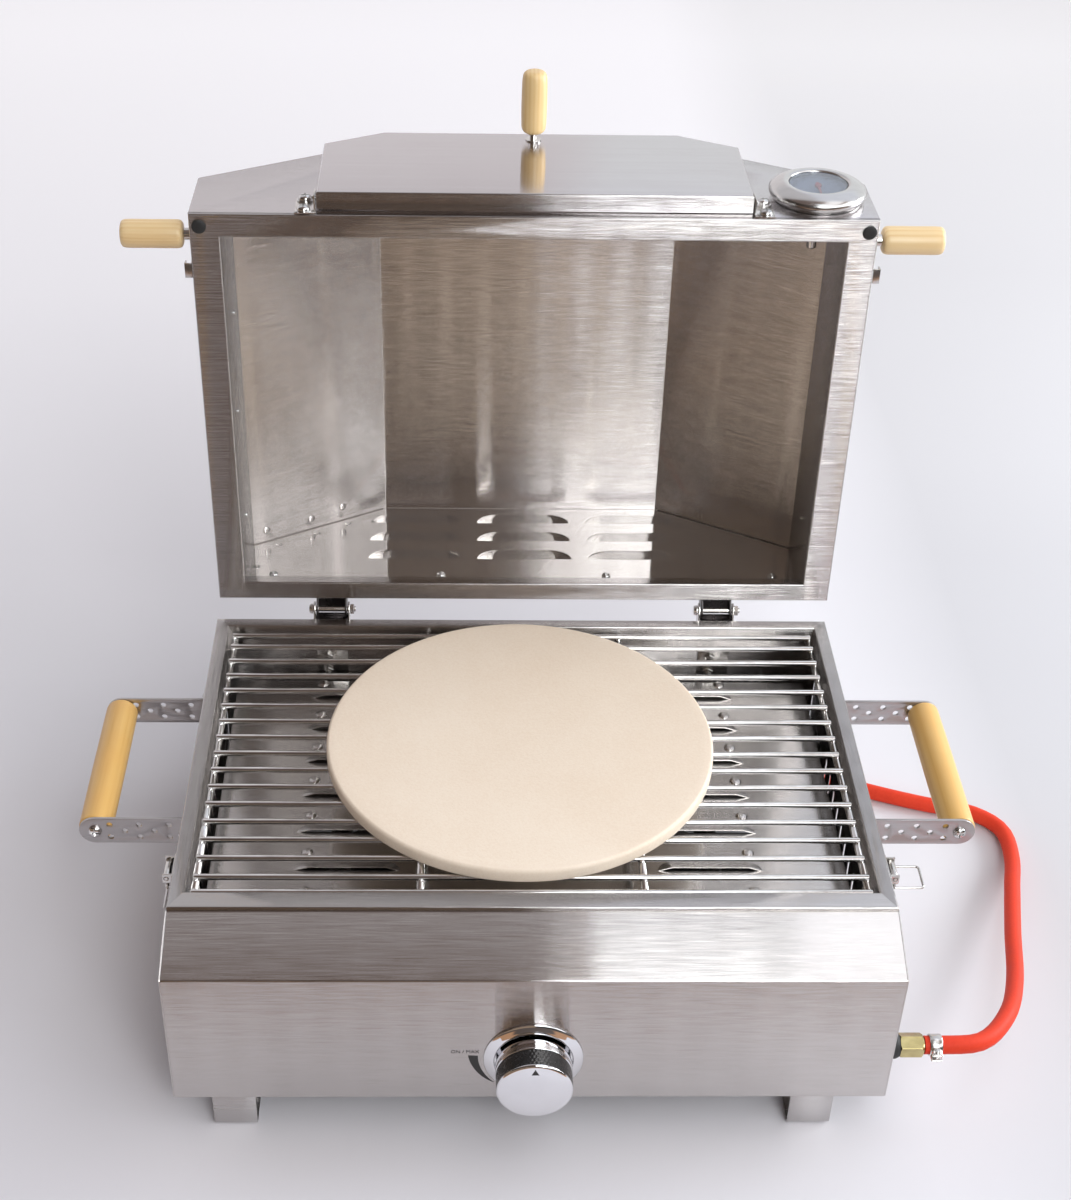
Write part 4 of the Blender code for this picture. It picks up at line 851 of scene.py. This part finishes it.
# ------------------------------------------------------------------ grate, stone, flame tamer
ROD_Y = [21.0] + [176.5 + 19.95 * i for i in range(-7, 8)] + [332.0]
parts = []
for k, y in enumerate(ROD_Y):
    prof = [(0, 0), (1.7, 0), (2.2, 0.25), (2.4, 0.7), (2.4, 495.3), (2.2, 495.75), (1.7, 496), (0, 496)]
    parts.append(turned(prof, (-248, y, -5.4), (1, 0, 0), 20))
for x in (-246, -82, 82, 246):
    prof = [(0, 0), (2.3, 0), (2.9, 0.5), (2.9, 318.5), (2.3, 319), (0, 319)]
    parts.append(turned(prof, (x, 17.5, -8.5), (0, 1, 0), 20))
    for k, y in enumerate(ROD_Y):
        # each weld leaves a small bead on both sides of the rod
        for d in (-1, 1):
            prof = [(0, -1.8), (1.2, -1.6), (2.0, -0.7), (2.1, 0.4), (1.5, 1.4), (0.8, 1.75), (0, 1.85)]
            wob = 0.35 * math.sin(k * 2.4 + x + d)
            parts.append(turned(prof, (x + wob, y + d * 2.5, -6.3), (0, 0, 1), 12))
piece("grate_rods", merged(parts), M["rod"], "grate", nodes=["cooking_grate"], slot="bright_steel", sharp=50)

SX, SY, SZ, SR, ST = -6.0, 180.0, -2.7, 152.5, 12.0
prof = [(0, 0), (SR - 3, 0), (SR - 1.6, 0.25), (SR - 0.5, 0.9), (SR, 2.0), (SR, ST - 3.2)]
prof += [(SR - 2.4 + 2.4 * math.cos(a), ST - 3.2 + 3.2 * math.sin(a)) for a in (math.pi / 2 * i / 7 for i in range(1, 8))]
prof += [(SR - 8, ST), (SR * 0.8, ST), (SR * 0.6, ST), (SR * 0.4, ST), (SR * 0.2, ST), (0, ST)]


def stone_edge(a, t):
    return -0.22 - 0.2 * noise.noise(Vector((math.cos(a) * 3, math.sin(a) * 3, t * 0.1)))


piece("baking_stone", turned(prof, (SX, SY, SZ), (0, 0, 1), 180, stone_edge), M["stone"], "stone", nodes=["pizza_stone"], slot="stone", sharp=60)


def louvre(length, width, depth, t, nx=60, ny=14, end=16.0, steep=1.42, slope=1.0, lip=0.0):
    """A pressed louvre as a sheet patch: a ramp that is deepest along its straight open edge (b = 0), with a leaf-shaped end on both sides."""
    bm = bmesh.new()
    layers = []
    for layer in (0, 1):
        rows = []
        for i in range(nx + 1):
            q = 2 * i / nx - 1
            x = length / 2 * (1 - (1 - abs(q)) ** 1.5) * (1 if q > 0 else -1)
            u = max(0.0, (abs(x) - (length / 2 - end)) / end)
            back = math.sqrt(max(0.0, 1 - u * u))
            row = []
            for j in range(ny + 1):
                v = back * j / ny
                drop = max(0.0, (lip - v) / lip) if lip else 0.0
                ramp_d = slope * (1 - v) + (1 - slope) * drop * drop * (3 - 2 * drop)
                leaf = steep * (1 - math.sqrt(u * u + v * v))
                k = 0.035
                h_ = max(0.0, min(1.0, 0.5 + 0.5 * (leaf - ramp_d) / k))
                d = leaf + (ramp_d - leaf) * h_ - k * h_ * (1 - h_)
                edge = min(1.0, max(0.0, 1 - math.sqrt(u * u + v * v)) / 0.12)
                d = max(0.0, d) * (edge * edge * (3 - 2 * edge)) ** 0.5
                row.append(bm.verts.new((x, v * width, depth * min(1.0, d) - layer * t)))
            rows.append(row)
        layers.append(rows)
    top, low = layers
    for i in range(nx):
        for j in range(ny):
            bm.faces.new((top[i][j], top[i][j + 1], top[i + 1][j + 1], top[i + 1][j]))
            bm.faces.new((low[i][j], low[i + 1][j], low[i + 1][j + 1], low[i][j + 1]))
        bm.faces.new((top[i][0], top[i + 1][0], low[i + 1][0], low[i][0]))
        bm.faces.new((top[i][ny], low[i][ny], low[i + 1][ny], top[i + 1][ny]))
    for j in range(ny):
        bm.faces.new((top[0][j], low[0][j], low[0][j + 1], top[0][j + 1]))
        bm.faces.new((top[nx][j], top[nx][j + 1], low[nx][j + 1], low[nx][j]))
    return bm


def louvre_hole(cx, c0, length, width, axis, a0, a1, sign=1.0, end=16.0):
    """The opening in the sheet that belongs to a louvre: straight on one side, rounded on the other."""
    us = [math.sin(math.pi / 2 * (2 * i / 22 - 1)) for i in range(23)]
    pts = [(cx - length / 2, c0 - 0.0), ]
    for u in us:
        x = u * end + math.copysign(length / 2 - end, u)
        pts.append((cx + x, c0 + sign * width * math.sqrt(max(0.0, 1 - u * u))))
    pts.append((cx + length / 2, c0))
    clean = [pts[0]]
    for p in pts[1:]:
        if (Vector(p) - Vector(clean[-1])).length > 0.05:
            clean.append(p)
    return prism(clean, axis, a0, a1)


plate_path = arc_path([(22, -66), (22, -50), (328, -50), (328, -66)], 2.0, 6)
plate = prism(sheet_outline(plate_path, T), "x", -245, 245)
holes, lids = [], []
for i in range(7):
    y = 53.5 + 42.5 * i
    for x in (-140, 0, 140):
        holes.append(louvre_hole(x, y - 5.5, 82, 11, "z", -56, -45))
        lids.append(shift(louvre(82, 11, 4.0, 1.0), lambda a, b, c, x=x, y=y: (x + a, y - 5.5 + b, -50 + c)))
legs = [box(min(a, b), max(a, b), y, y + 0.8, -143.1, -60) for a, b in ((-244, -226), (226, 244)) for y in (22.1, 327.1)]
dimples = []
for i in range(7):
    for x in (-171.5, 171.5):
        dimples.append(turned([(0, -0.8), (5.2, -0.8), (4.8, 0.2), (3.6, 1.0), (2.0, 1.5), (0, 1.7)], (x, 53.5 + 42.5 * i + 15, -50), (0, 0, 1), 24))
piece("tamer_plate", merged([cut(plate, *holes), *lids, *legs, *dimples]), M["tamer"], "base", nodes=["flame_tamer"], slot="steel")

# ------------------------------------------------------------------ hood
HW, HD = 262.5, 350.0
outline = [(-HW, 1.5), (-HW, HOOD_SIDE), (-125, HOOD_H), (125, HOOD_H), (HW, HOOD_SIDE), (HW, 1.5)]
shell = prism(sheet_outline(arc_path(outline, [2.4, 2.2, 2.2, 2.4], 6), 1.2), "y", 1.5, HD - 1.5)
piece("hood_shell", shell, M["hood_in"], "hood", hood, ["lid_hood_shell"], "steel")

edge_ring = ring_path(outline, [0.3, 2.4, 2.2, 2.2, 2.4, 0.3], 6)
door_hole = [(-152, 22), (-152, 97), (-110, 120), (110, 120), (152, 97), (152, 22)]
gauge_hole = turned([(0, -6), (5, -6), (5, 6), (0, 6)], (220, HD, 42.5), (0, 1, 0), 32)
wall = cut(prism(edge_ring, "y", HD - 1.2, HD), prism(door_hole, "y", HD - 5, HD + 5), gauge_hole)
piece("hood_front_wall", soften(wall, 0.35), M["hood_out"], "hood", hood, ["lid_front_wall"], "steel")

rear = prism(edge_ring, "y", 0, 1.2)
holes, lids = [], []
for x in (-95.5, 1.5, 99):
    for w in (69.5, 99.5, 129.5):
        holes.append(louvre_hole(x, w - 7.2, 83.8, 15.0, "y", -5, 5, end=20.0))
        lids.append(shift(louvre(84, 15.1, 5.6, 1.2, 72, 20, 20.0, 0.98, 0.74, 0.3), lambda a, b, c, x=x, w=w: (x + a, -c, w - 7.2 + b)))
piece("hood_rear_wall", merged([cut(rear, *holes), *lids]), M["hood_floor"], "hood", hood, ["lid_rear_wall"], "steel")

Rm = 1.3
marc = [(Rm * (1 - math.cos(a)), Rm * (1 - math.sin(a))) for a in (math.pi / 2 * i / 5 for i in range(6))]
mouth_profile = [(0, 0, 4.0)] + [(0, d, e) for d, e in marc] + [(1, -d, e) for d, e in reversed(marc)] + [(1, 0, 10.0)]
mouth_profile += [(1, -1, 10.0), (1, -1, 1.4), (0, 1, 1.4), (0, 1, 4.0)]
mouth = picture_frame(mouth_profile, -HW + 0.0, HW - 0.0, 0.0, HD, 23.0, 23.0, 16.5, 18.5)
liners = [soften(box(239.6, 240.4, 1.6, HD - 1.6, 1.5, 80), 0.2), soften(box(-240.4, -239.6, 1.6, HD - 1.6, 1.5, 80), 0.2)]
piece("mouth_frame", merged([mouth, *liners]), M["mouth"], "hood", hood, ["lid_mouth_frame"], "steel")

# screws in the hood: along the rear wall, on the side liners, and the rubber bumpers at the mouth's corners
heads = [pan_head((x, 1.2, 35.5), (0, 1, 0), 3.9, 2.7) for x in (-218.8, -72.5, 72.5, 218.8)]
heads += [pan_head((-239.6, v, w), (1, 0, 0), 2.0, 1.3) for v, w in ((244, 52), (164, 34), (60, 40))]
heads += [pan_head((239.6, v, w), (-1, 0, 0), 2.0, 1.3) for v, w in ((287, 58), (176, 12), (60, 40))]
heads += [pan_head((x, 0.0, 35.5), (0, -1, 0), 2.8, 1.4) for x in (-218.8, -72.5, 72.5, 218.8)]
piece("hood_screws", merged(heads), M["screw"], "hood", hood, slot="bright_steel")
bumpers = [turned([(0, -0.4), (5.0, -0.4), (5.5, 0.1), (5.5, 0.7), (4.9, 1.2), (3.4, 1.45), (0, 1.5)], (x, 340, 0), (0, 0, -1), 36) for x in (-254.8, 255.4)]
piece("mouth_bumpers", merged(bumpers), M["rubber"], "hood", hood, slot="rubber")

# weld dimples where the sloping panels are tacked to the rear wall, and the narrow dark seam between the two
dots, slope_dots, seams = [], [], []
along = Vector((HW - 125, HOOD_SIDE - HOOD_H)).normalized()
for s in (-1, 1):
    k = 1.0 if s < 0 else 0.35  # the right side's welds are flatter
    for x, w in ((158, 119.5), (185, 103), (218, 84), (235, 48), (236.5, 28)):
        dots.append(turned([(0, -0.5), (3.5, -0.5), (3.2, 0.0), (2.5, 0.5 * k), (1.5, 0.85 * k), (0, k)], (s * x, 1.2, w), (0, 1, 0), 20))
    face = Vector((s * along.y, -along.x))
    for f, v in ((0.28, 15.0), (0.48, 11.5), (0.76, 13.0)):
        q = Vector((s * (125 + (HW - 125) * f), HOOD_H + (HOOD_SIDE - HOOD_H) * f)) + face * 1.2
        slope_dots.append(turned([(0, -0.5), (3.7, -0.5), (3.4, 0.0), (2.6, 0.5 * k), (1.5, 0.85 * k), (0, k)], (q.x, v, q.y), (face.x, 0, face.y), 20))
    run = [Vector((s * (125 + (HW - 125) * f), HOOD_H + (HOOD_SIDE - HOOD_H) * f)) for f in (0.02, 0.985)]
    ring = [run[0] + face * 1.15, run[1] + face * 1.15, run[1] + face * 1.6, run[0] + face * 1.6]
    seams.append(prism([tuple(q) for q in ring], "y", 1.1, 2.0))
piece("weld_dimples", merged(dots), M["hood_floor"], "hood", hood, slot="steel")
piece("weld_dimples_slopes", merged(slope_dots), M["hood_in"], "hood", hood, slot="steel")
piece("hood_seams", merged(seams), M["burner"], "hood", hood, slot="dark_steel")

# wooden side knobs on metal spacers
knob_prof = [(0, 6.2), (6.4, 6.2), (8.4, 6.5), (9.8, 7.3), (10.6, 8.6), (10.95, 10.6), (11.0, 20), (10.9, 32), (11.0, 46), (10.8, 50.4), (10.2, 52.6), (9.0, 53.6), (7.6, 54), (0, 54)]
for side, s in (("left", -1), ("right", 1)):
    reeds = (lambda a, t: -0.22 + 0.22 * abs(math.cos(a * 13)) if 8 < t < 52.5 else -0.1) if s < 0 else (lambda a, t: -0.03 * math.sin(a * 5) ** 2)
    wooden = turned(knob_prof, (s * HW, 328, 14), (s, 0, 0), 208, reeds)
    piece(f"side_knob_{side}", wooden, M["pine_x"], "hood", hood, [f"lid_side_knob_{side}"], "wood")
    spacer = [turned([(0, 0.2), (4.4, 0.2), (4.7, 0.5), (4.7, 5.6), (4.4, 6.0), (0, 6.0)], (s * HW, 328, 14), (s, 0, 0), 28)]
    piece(f"side_knob_spacer_{side}", merged(spacer), M["nickel"], "hood", hood, slot="bright_steel")

# ------------------------------------------------------------------ thermometer
G = (220.0, HD, 42.5)
cup = [(0, -41), (2.9, -41), (3.6, -40.5), (4, -39.5), (4, 0.4), (33.4, 0.4), (33.7, 0.5), (34.0, 1.0), (34.2, 1.6)]
cup += [(33.0 + 5.0 * math.cos(a), 6.6 + 5.0 * math.sin(a)) for a in (math.radians(-72 + 12 * i) for i in range(8))]
cup += [(37.8, 7.3), (37.2, 8.5), (36.2, 9.7), (34.8, 10.8), (33.0, 11.8), (31.0, 12.65), (28.9, 13.35), (26.9, 13.8), (25.2, 13.9), (24.0, 13.6), (23.2, 13.0), (22.9, 12.4), (22.9, 8.0), (0, 8.0)]
piece("gauge_case", turned(cup, G, (0, 1, 0), 96), M["gauge"], "hood", hood, ["gauge_housing"], "steel", sharp=60)
piece("gauge_pane", turned([(0, 11), (22.4, 11), (22.6, 11.2), (22.6, 12.2), (22.4, 12.4), (0, 12.4)], G, (0, 1, 0), 72), M["glass"], "hood", hood, ["gauge_glass"], "glass")
face = [turned([(0, 8.05), (22.6, 8.05), (22.6, 8.25), (0, 8.25)], G, (0, 1, 0), 72)]
piece("gauge_dial", merged(face), M["dial"], "hood", hood, slot="steel")
ticks = []
for i in range(31):
    a = math.radians(-150 + 10 * i) + math.pi
    long = 3.6 if i % 5 == 0 else 2.0
    d = (math.sin(a), math.cos(a))
    q = (d[1], -d[0])
    w = 0.32 if i % 5 == 0 else 0.18
    ring = [(G[0] + d[0] * rr + q[0] * ww, G[2] + d[1] * rr + q[1] * ww) for rr, ww in ((19.6, -w), (19.6, w), (19.6 - long, w), (19.6 - long, -w))]
    ticks.append(prism(ring, "y", HD + 8.27, HD + 8.36))
piece("gauge_ticks", merged(ticks), M["print"], "hood", hood, slot="rubber")

# ------------------------------------------------------------------ oven door
LOW, SIDE, TOP, HALF, TOP_HALF, DEEP = 9.5, 110.5, 136.0, 166.0, 119.0, 14.5
dw = [(-HALF, LOW), (-HALF, SIDE), (-TOP_HALF, TOP), (TOP_HALF, TOP), (HALF, SIDE), (HALF, LOW)]
cx, cw = 0.0, (LOW + TOP) / 2


def inset(outline_, d):
    n = len(outline_)
    out = []
    for i in range(n):
        p0, p1, p2 = Vector(outline_[i - 1]), Vector(outline_[i]), Vector(outline_[(i + 1) % n])
        e0, e1 = (p1 - p0).normalized(), (p2 - p1).normalized()
        n0, n1 = Vector((e0.y, -e0.x)), Vector((e1.y, -e1.x))
        out.append(tuple(p1 + (n0 + n1) / (1 + n0.dot(n1)) * d))
    return out


rings = []
RD = 1.8
outer = [(0.0, 0.8)] + [(RD * (1 - math.cos(a)), DEEP - RD + RD * math.sin(a)) for a in (math.pi / 2 * i / 6 for i in range(7))]
for d, hh in outer:
    rings.append([(x, HD + hh, w) for x, w in inset(dw, d)])
door_out = faces_from(rings, False, False)
door_out.verts.ensure_lookup_table()
door_out.faces.new(door_out.verts[-6:])
inner_rings = [[(x, HD + hh, w) for x, w in inset(dw, d)] for d, hh in ((1.0, 0.8), (1.0, DEEP - 1.9), (1.9, DEEP - 1.0))]
door_in = faces_from(inner_rings, False, False)
door_in.verts.ensure_lookup_table()
door_in.faces.new(door_in.verts[-6:])
door = merged([door_out, door_in])
door.verts.ensure_lookup_table()
nout = len(outer) * 6
for i in range(6):
    j = (i + 1) % 6
    door.faces.new((door.verts[i], door.verts[j], door.verts[nout + j], door.verts[nout + i]))
for f in door.faces:
    f.material_index = 1 if f.calc_center_median().z < LOW + 0.9 else 0
piece("door_tray", door, [M["door"], M["mouth"]], "oven_door", hood, ["oven_door"], "steel", sharp=28)

knob = [(0, 6.0), (5.0, 6.0), (7.0, 6.5), (8.6, 7.8), (9.6, 9.8), (10.0, 12.5), (10.2, 20), (10.3, 30), (10.2, 40), (10.0, 48), (9.6, 52), (8.8, 54.2), (7.2, 55.6), (4.5, 56.1), (0, 56.2)]
piece("door_knob", turned(knob, (1.5, HD + DEEP, 122), (0, 1, 0), 56), M["pine_z"], "oven_door", hood, ["door_handle_grip"], "wood")
post = [washer((1.5, HD + DEEP, 122), (0, 1, 0), 2.2, 6.4, 1.0), turned([(0, 0.9), (3.0, 0.9), (3.0, 6.1), (0, 6.1)], (1.5, HD + DEEP, 122), (0, 1, 0), 28),
        turned([(0, 5.0), (4.6, 5.0), (5.0, 5.4), (5.0, 5.9), (0, 5.9)], (1.5, HD + DEEP, 122), (0, 1, 0), 28)]
piece("door_knob_post", merged(post), M["nickel"], "oven_door", hood, slot="bright_steel")
for side, s in (("left", -1), ("right", 1)):
    softened_node(f"door_pivot_bracket_{side}", f"door_bracket_{side}", M["nickel"], "hood", 0.25, "dark_steel")
    heads = []
    for w in (5.4, 25.6):
        heads += [washer((s * 175.6, HD + 1.5, w), (0, 1, 0), 2.2, 6.6, 1.0), pan_head((s * 175.6, HD + 2.4, w), (0, 1, 0), 5.3, 3.6)]
    piece(f"door_bracket_screws_{side}", merged(heads), M["screw"], "hood", hood, slot="bright_steel")

# ------------------------------------------------------------------ carried-over solids
for node, key in (("base_bottom_panel", "inside"), ("main_burner", "burner"), ("gas_valve_body", "brass"), ("gas_inlet_pipe", "brass"),
                  ("igniter_electrode", "ceramic"), ("gas_regulator", "cast"), ("valve_stem", "brass"), ("gauge_needle", "needle")):
    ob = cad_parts[node]
    for s in ob.material_slots:
        s.material = M[key]
    if not ob.material_slots:
        ob.data.materials.append(M[key])

# ------------------------------------------------------------------ studio
floor_m, nt, b, co = new_material("studio_floor")
cloud = noise_of(nt, co, 1.3, 2, 0.5)
sepf = nt.nodes.new("ShaderNodeSeparateXYZ")
nt.links.new(co, sepf.inputs[0])
# painted light and shade: the paper's colour is darker in front of the grill and paler towards the back, standing in
# for how the studio light falls on the floor
paper = ramp(nt, span(nt, sepf.outputs["Y"], 0.0, 1.0, -0.6, 1.1), [(0.0, (0.75, 0.735, 0.775)), (0.25, (0.77, 0.757, 0.79)), (0.55, (0.78, 0.77, 0.80)), (1.0, (0.89, 0.88, 0.915))])
# painted shade: to the right of the grill the floor is darkened along Y by these grey stops, blended in over X
stops = ((-0.35, 0.62), (0.0, 0.59), (0.3, 0.60), (0.7, 0.64), (1.2, 0.645), (1.6, 0.70), (2.05, 0.78))
painted_right_shade = ramp(nt, span(nt, sepf.outputs["Y"], 0.0, 1.0, -0.35, 2.05), [((y + 0.35) / 2.4, (v, v - 0.004, v + 0.018)) for y, v in stops])
paper = blend_colour(nt, span(nt, sepf.outputs["X"], 0.0, 1.0, 0.30, 0.46), paper, painted_right_shade)
nt.links.new(paper, b.inputs["Base Color"])
b.inputs["Roughness"].default_value = 0.8
b.inputs["Specular IOR Level"].default_value = 0.15
# painted light: the far floor glows with an emission of its own, brighter towards the back, though it is no lamp
painted_glow = ramp(nt, span(nt, sepf.outputs["Y"], 0.0, 1.0, 0.5, 2.1), [(0.0, (0.0, 0.0, 0.0)), (0.35, (0.10, 0.10, 0.10)), (1.0, (0.26, 0.26, 0.26))])
nt.links.new(painted_glow, b.inputs["Emission Color"])
b.inputs["Emission Strength"].default_value = 1.0
PAPER_EDGE = -0.505
front_m, nt, b, co = new_material("studio_front")
sepf = nt.nodes.new("ShaderNodeSeparateXYZ")
nt.links.new(co, sepf.inputs[0])
wood_tone = ramp(nt, span(nt, sepf.outputs["Y"], 0.0, 1.0, -0.78, -0.70), [(0.0, (0.075, 0.055, 0.045)), (1.0, (0.42, 0.23, 0.12))])
nt.links.new(wood_tone, b.inputs["Base Color"])
b.inputs["Roughness"].default_value = 0.8
b.inputs["Specular IOR Level"].default_value = 0.15


def ground(name, y0, y1, material):
    me = bpy.data.meshes.new(name)
    me.from_pydata([(-9, y0, 0), (9, y0, 0), (9, y1, 0), (-9, y1, 0)], [], [(0, 1, 2, 3)])
    me.materials.append(material)
    ob = bpy.data.objects.new(name, me)
    scene.collection.objects.link(ob)
    ob.location = (0, 0, -0.0006)
    return ob


# the pale paper ends in front of the grill; beyond it the steel mirrors a dark flag, which the camera doesn't see
ground("floor", PAPER_EDGE, 9.0, floor_m)
ground("front_flag", -9.0, PAPER_EDGE, front_m).visible_camera = False

world = bpy.data.worlds.new("studio")
scene.world = world
world.use_nodes = True
nt = world.node_tree
bg = nt.nodes["Background"]
tc = nt.nodes.new("ShaderNodeTexCoord")
sep = nt.nodes.new("ShaderNodeSeparateXYZ")
nt.links.new(tc.outputs["Generated"], sep.inputs[0])


def world_math(op, a, b_=None, c=None):
    n_ = nt.nodes.new("ShaderNodeMath")
    n_.operation = op
    for i, v in enumerate((a, b_, c)):
        if v is None:
            continue
        if isinstance(v, (int, float)):
            n_.inputs[i].default_value = v
        else:
            nt.links.new(v, n_.inputs[i])
    return n_.outputs[0]


def world_step(v, lo, hi):
    n_ = nt.nodes.new("ShaderNodeMapRange")
    n_.interpolation_type = "SMOOTHSTEP"
    n_.inputs["From Min"].default_value = lo
    n_.inputs["From Max"].default_value = hi
    nt.links.new(v, n_.inputs["Value"])
    return n_.outputs["Result"]


def world_mix(fac, a, b_):
    n_ = nt.nodes.new("ShaderNodeMix")
    n_.data_type = "RGBA"
    nt.links.new(fac, n_.inputs["Factor"])
    for i, v in ((6, a), (7, b_)):
        if isinstance(v, tuple):
            n_.inputs[i].default_value = (*v, 1)
        else:
            nt.links.new(v, n_.inputs[i])
    return n_.outputs[2]


# a dim room on the left, brighter on the right of the camera, and a pale wall behind the grill
right_side = world_step(sep.outputs["X"], 0.05, 0.076)
low = world_step(sep.outputs["Z"], 0.33, 0.37)
high = world_step(sep.outputs["Z"], 0.68, 0.72)
room_left = world_mix(high, world_mix(low, (0.28, 0.205, 0.15), (0.03, 0.025, 0.02)), (0.18, 0.135, 0.12))
room_right = world_mix(high, world_mix(low, (0.06, 0.055, 0.05), (2.10, 2.12, 2.18)), (0.32, 0.22, 0.16))
room = world_mix(right_side, room_left, room_right)
top = world_step(sep.outputs["Z"], 0.46, 0.54)
wall_left = world_mix(top, (0.88, 0.84, 0.86), (0.67, 0.66, 0.69))
wall_right = world_mix(top, (0.93, 0.95, 0.97), (0.90, 0.94, 1.04))
wall_colour = world_mix(world_step(sep.outputs["X"], 0.03, 0.096), wall_left, wall_right)
sky = world_mix(world_step(sep.outputs["Y"], 0.12, 0.18), room, wall_colour)
lp = nt.nodes.new("ShaderNodeLightPath")
seen = nt.nodes.new("ShaderNodeMix")
seen.data_type = "RGBA"
nt.links.new(lp.outputs["Is Camera Ray"], seen.inputs["Factor"])
nt.links.new(sky, seen.inputs[6])
seen.inputs[7].default_value = (0.86, 0.85, 0.88, 1)
nt.links.new(seen.outputs[2], bg.inputs["Color"])
bg.inputs["Strength"].default_value = 1.0


def area(name, at, to, size, power, colour=(1, 1, 1)):
    d = bpy.data.lights.new(name, "AREA")
    d.shape, d.size, d.size_y, d.energy, d.color = "RECTANGLE", size[0], size[1], power, colour
    ob = bpy.data.objects.new(name, d)
    scene.collection.objects.link(ob)
    ob.location = at
    ob.rotation_euler = (Vector(to) - Vector(at)).to_track_quat("-Z", "Y").to_euler()
    return ob


def sheet(name, low_corner, high_corner, level, colour):
    """a flat softbox filling the box between two corners, of an even brightness"""
    lo_, hi_ = Vector(low_corner), Vector(high_corner)
    mid, ext = (lo_ + hi_) / 2, hi_ - lo_
    flat = min(range(3), key=lambda i: ext[i])
    to = mid.copy()
    to[flat] = 0.0
    size = [ext[i] for i in range(3) if i != flat]
    if flat == 0:
        size = [ext[1], ext[2]]
    return area(name, mid, to, size, math.pi * size[0] * size[1] * level, colour)


sheet("softbox_strip_front", (0.12, -2.3, 1.9), (0.50, -1.2, 1.9), 3.6, (0.98, 1.0, 1.01))
sheet("softbox_strip_over", (0.17, -1.2, 1.9), (0.50, -0.3, 1.9), 1.9, (0.90, 1.0, 1.07))
sheet("softbox_over_front", (0.50, -2.3, 1.9), (1.20, -0.8, 1.9), 0.92, (0.82, 1.0, 1.1))
sheet("softbox_over_side", (0.50, -0.8, 1.9), (1.20, 0.4, 1.9), 1.2, (0.94, 1.0, 1.07))
sheet("softbox_front_low", (0.12, -2.3, 0.7), (0.50, -2.3, 1.3), 1.7, (1.0, 0.98, 1.1))
sheet("softbox_front_high", (0.12, -2.3, 1.3), (0.50, -2.3, 2.4), 2.35, (0.92, 1.0, 1.06))
sheet("softbox_right_low", (0.50, -2.3, 0.7), (1.20, -2.3, 1.3), 2.4, (0.93, 1.0, 1.04))
sheet("softbox_right_high", (0.50, -2.3, 1.3), (1.20, -2.3, 2.4), 6.7, (1.0, 1.0, 0.99))
sheet("window_right", (1.9, -0.2, 0.3), (1.9, 1.0, 1.2), 8.6, (0.96, 1.0, 1.03))
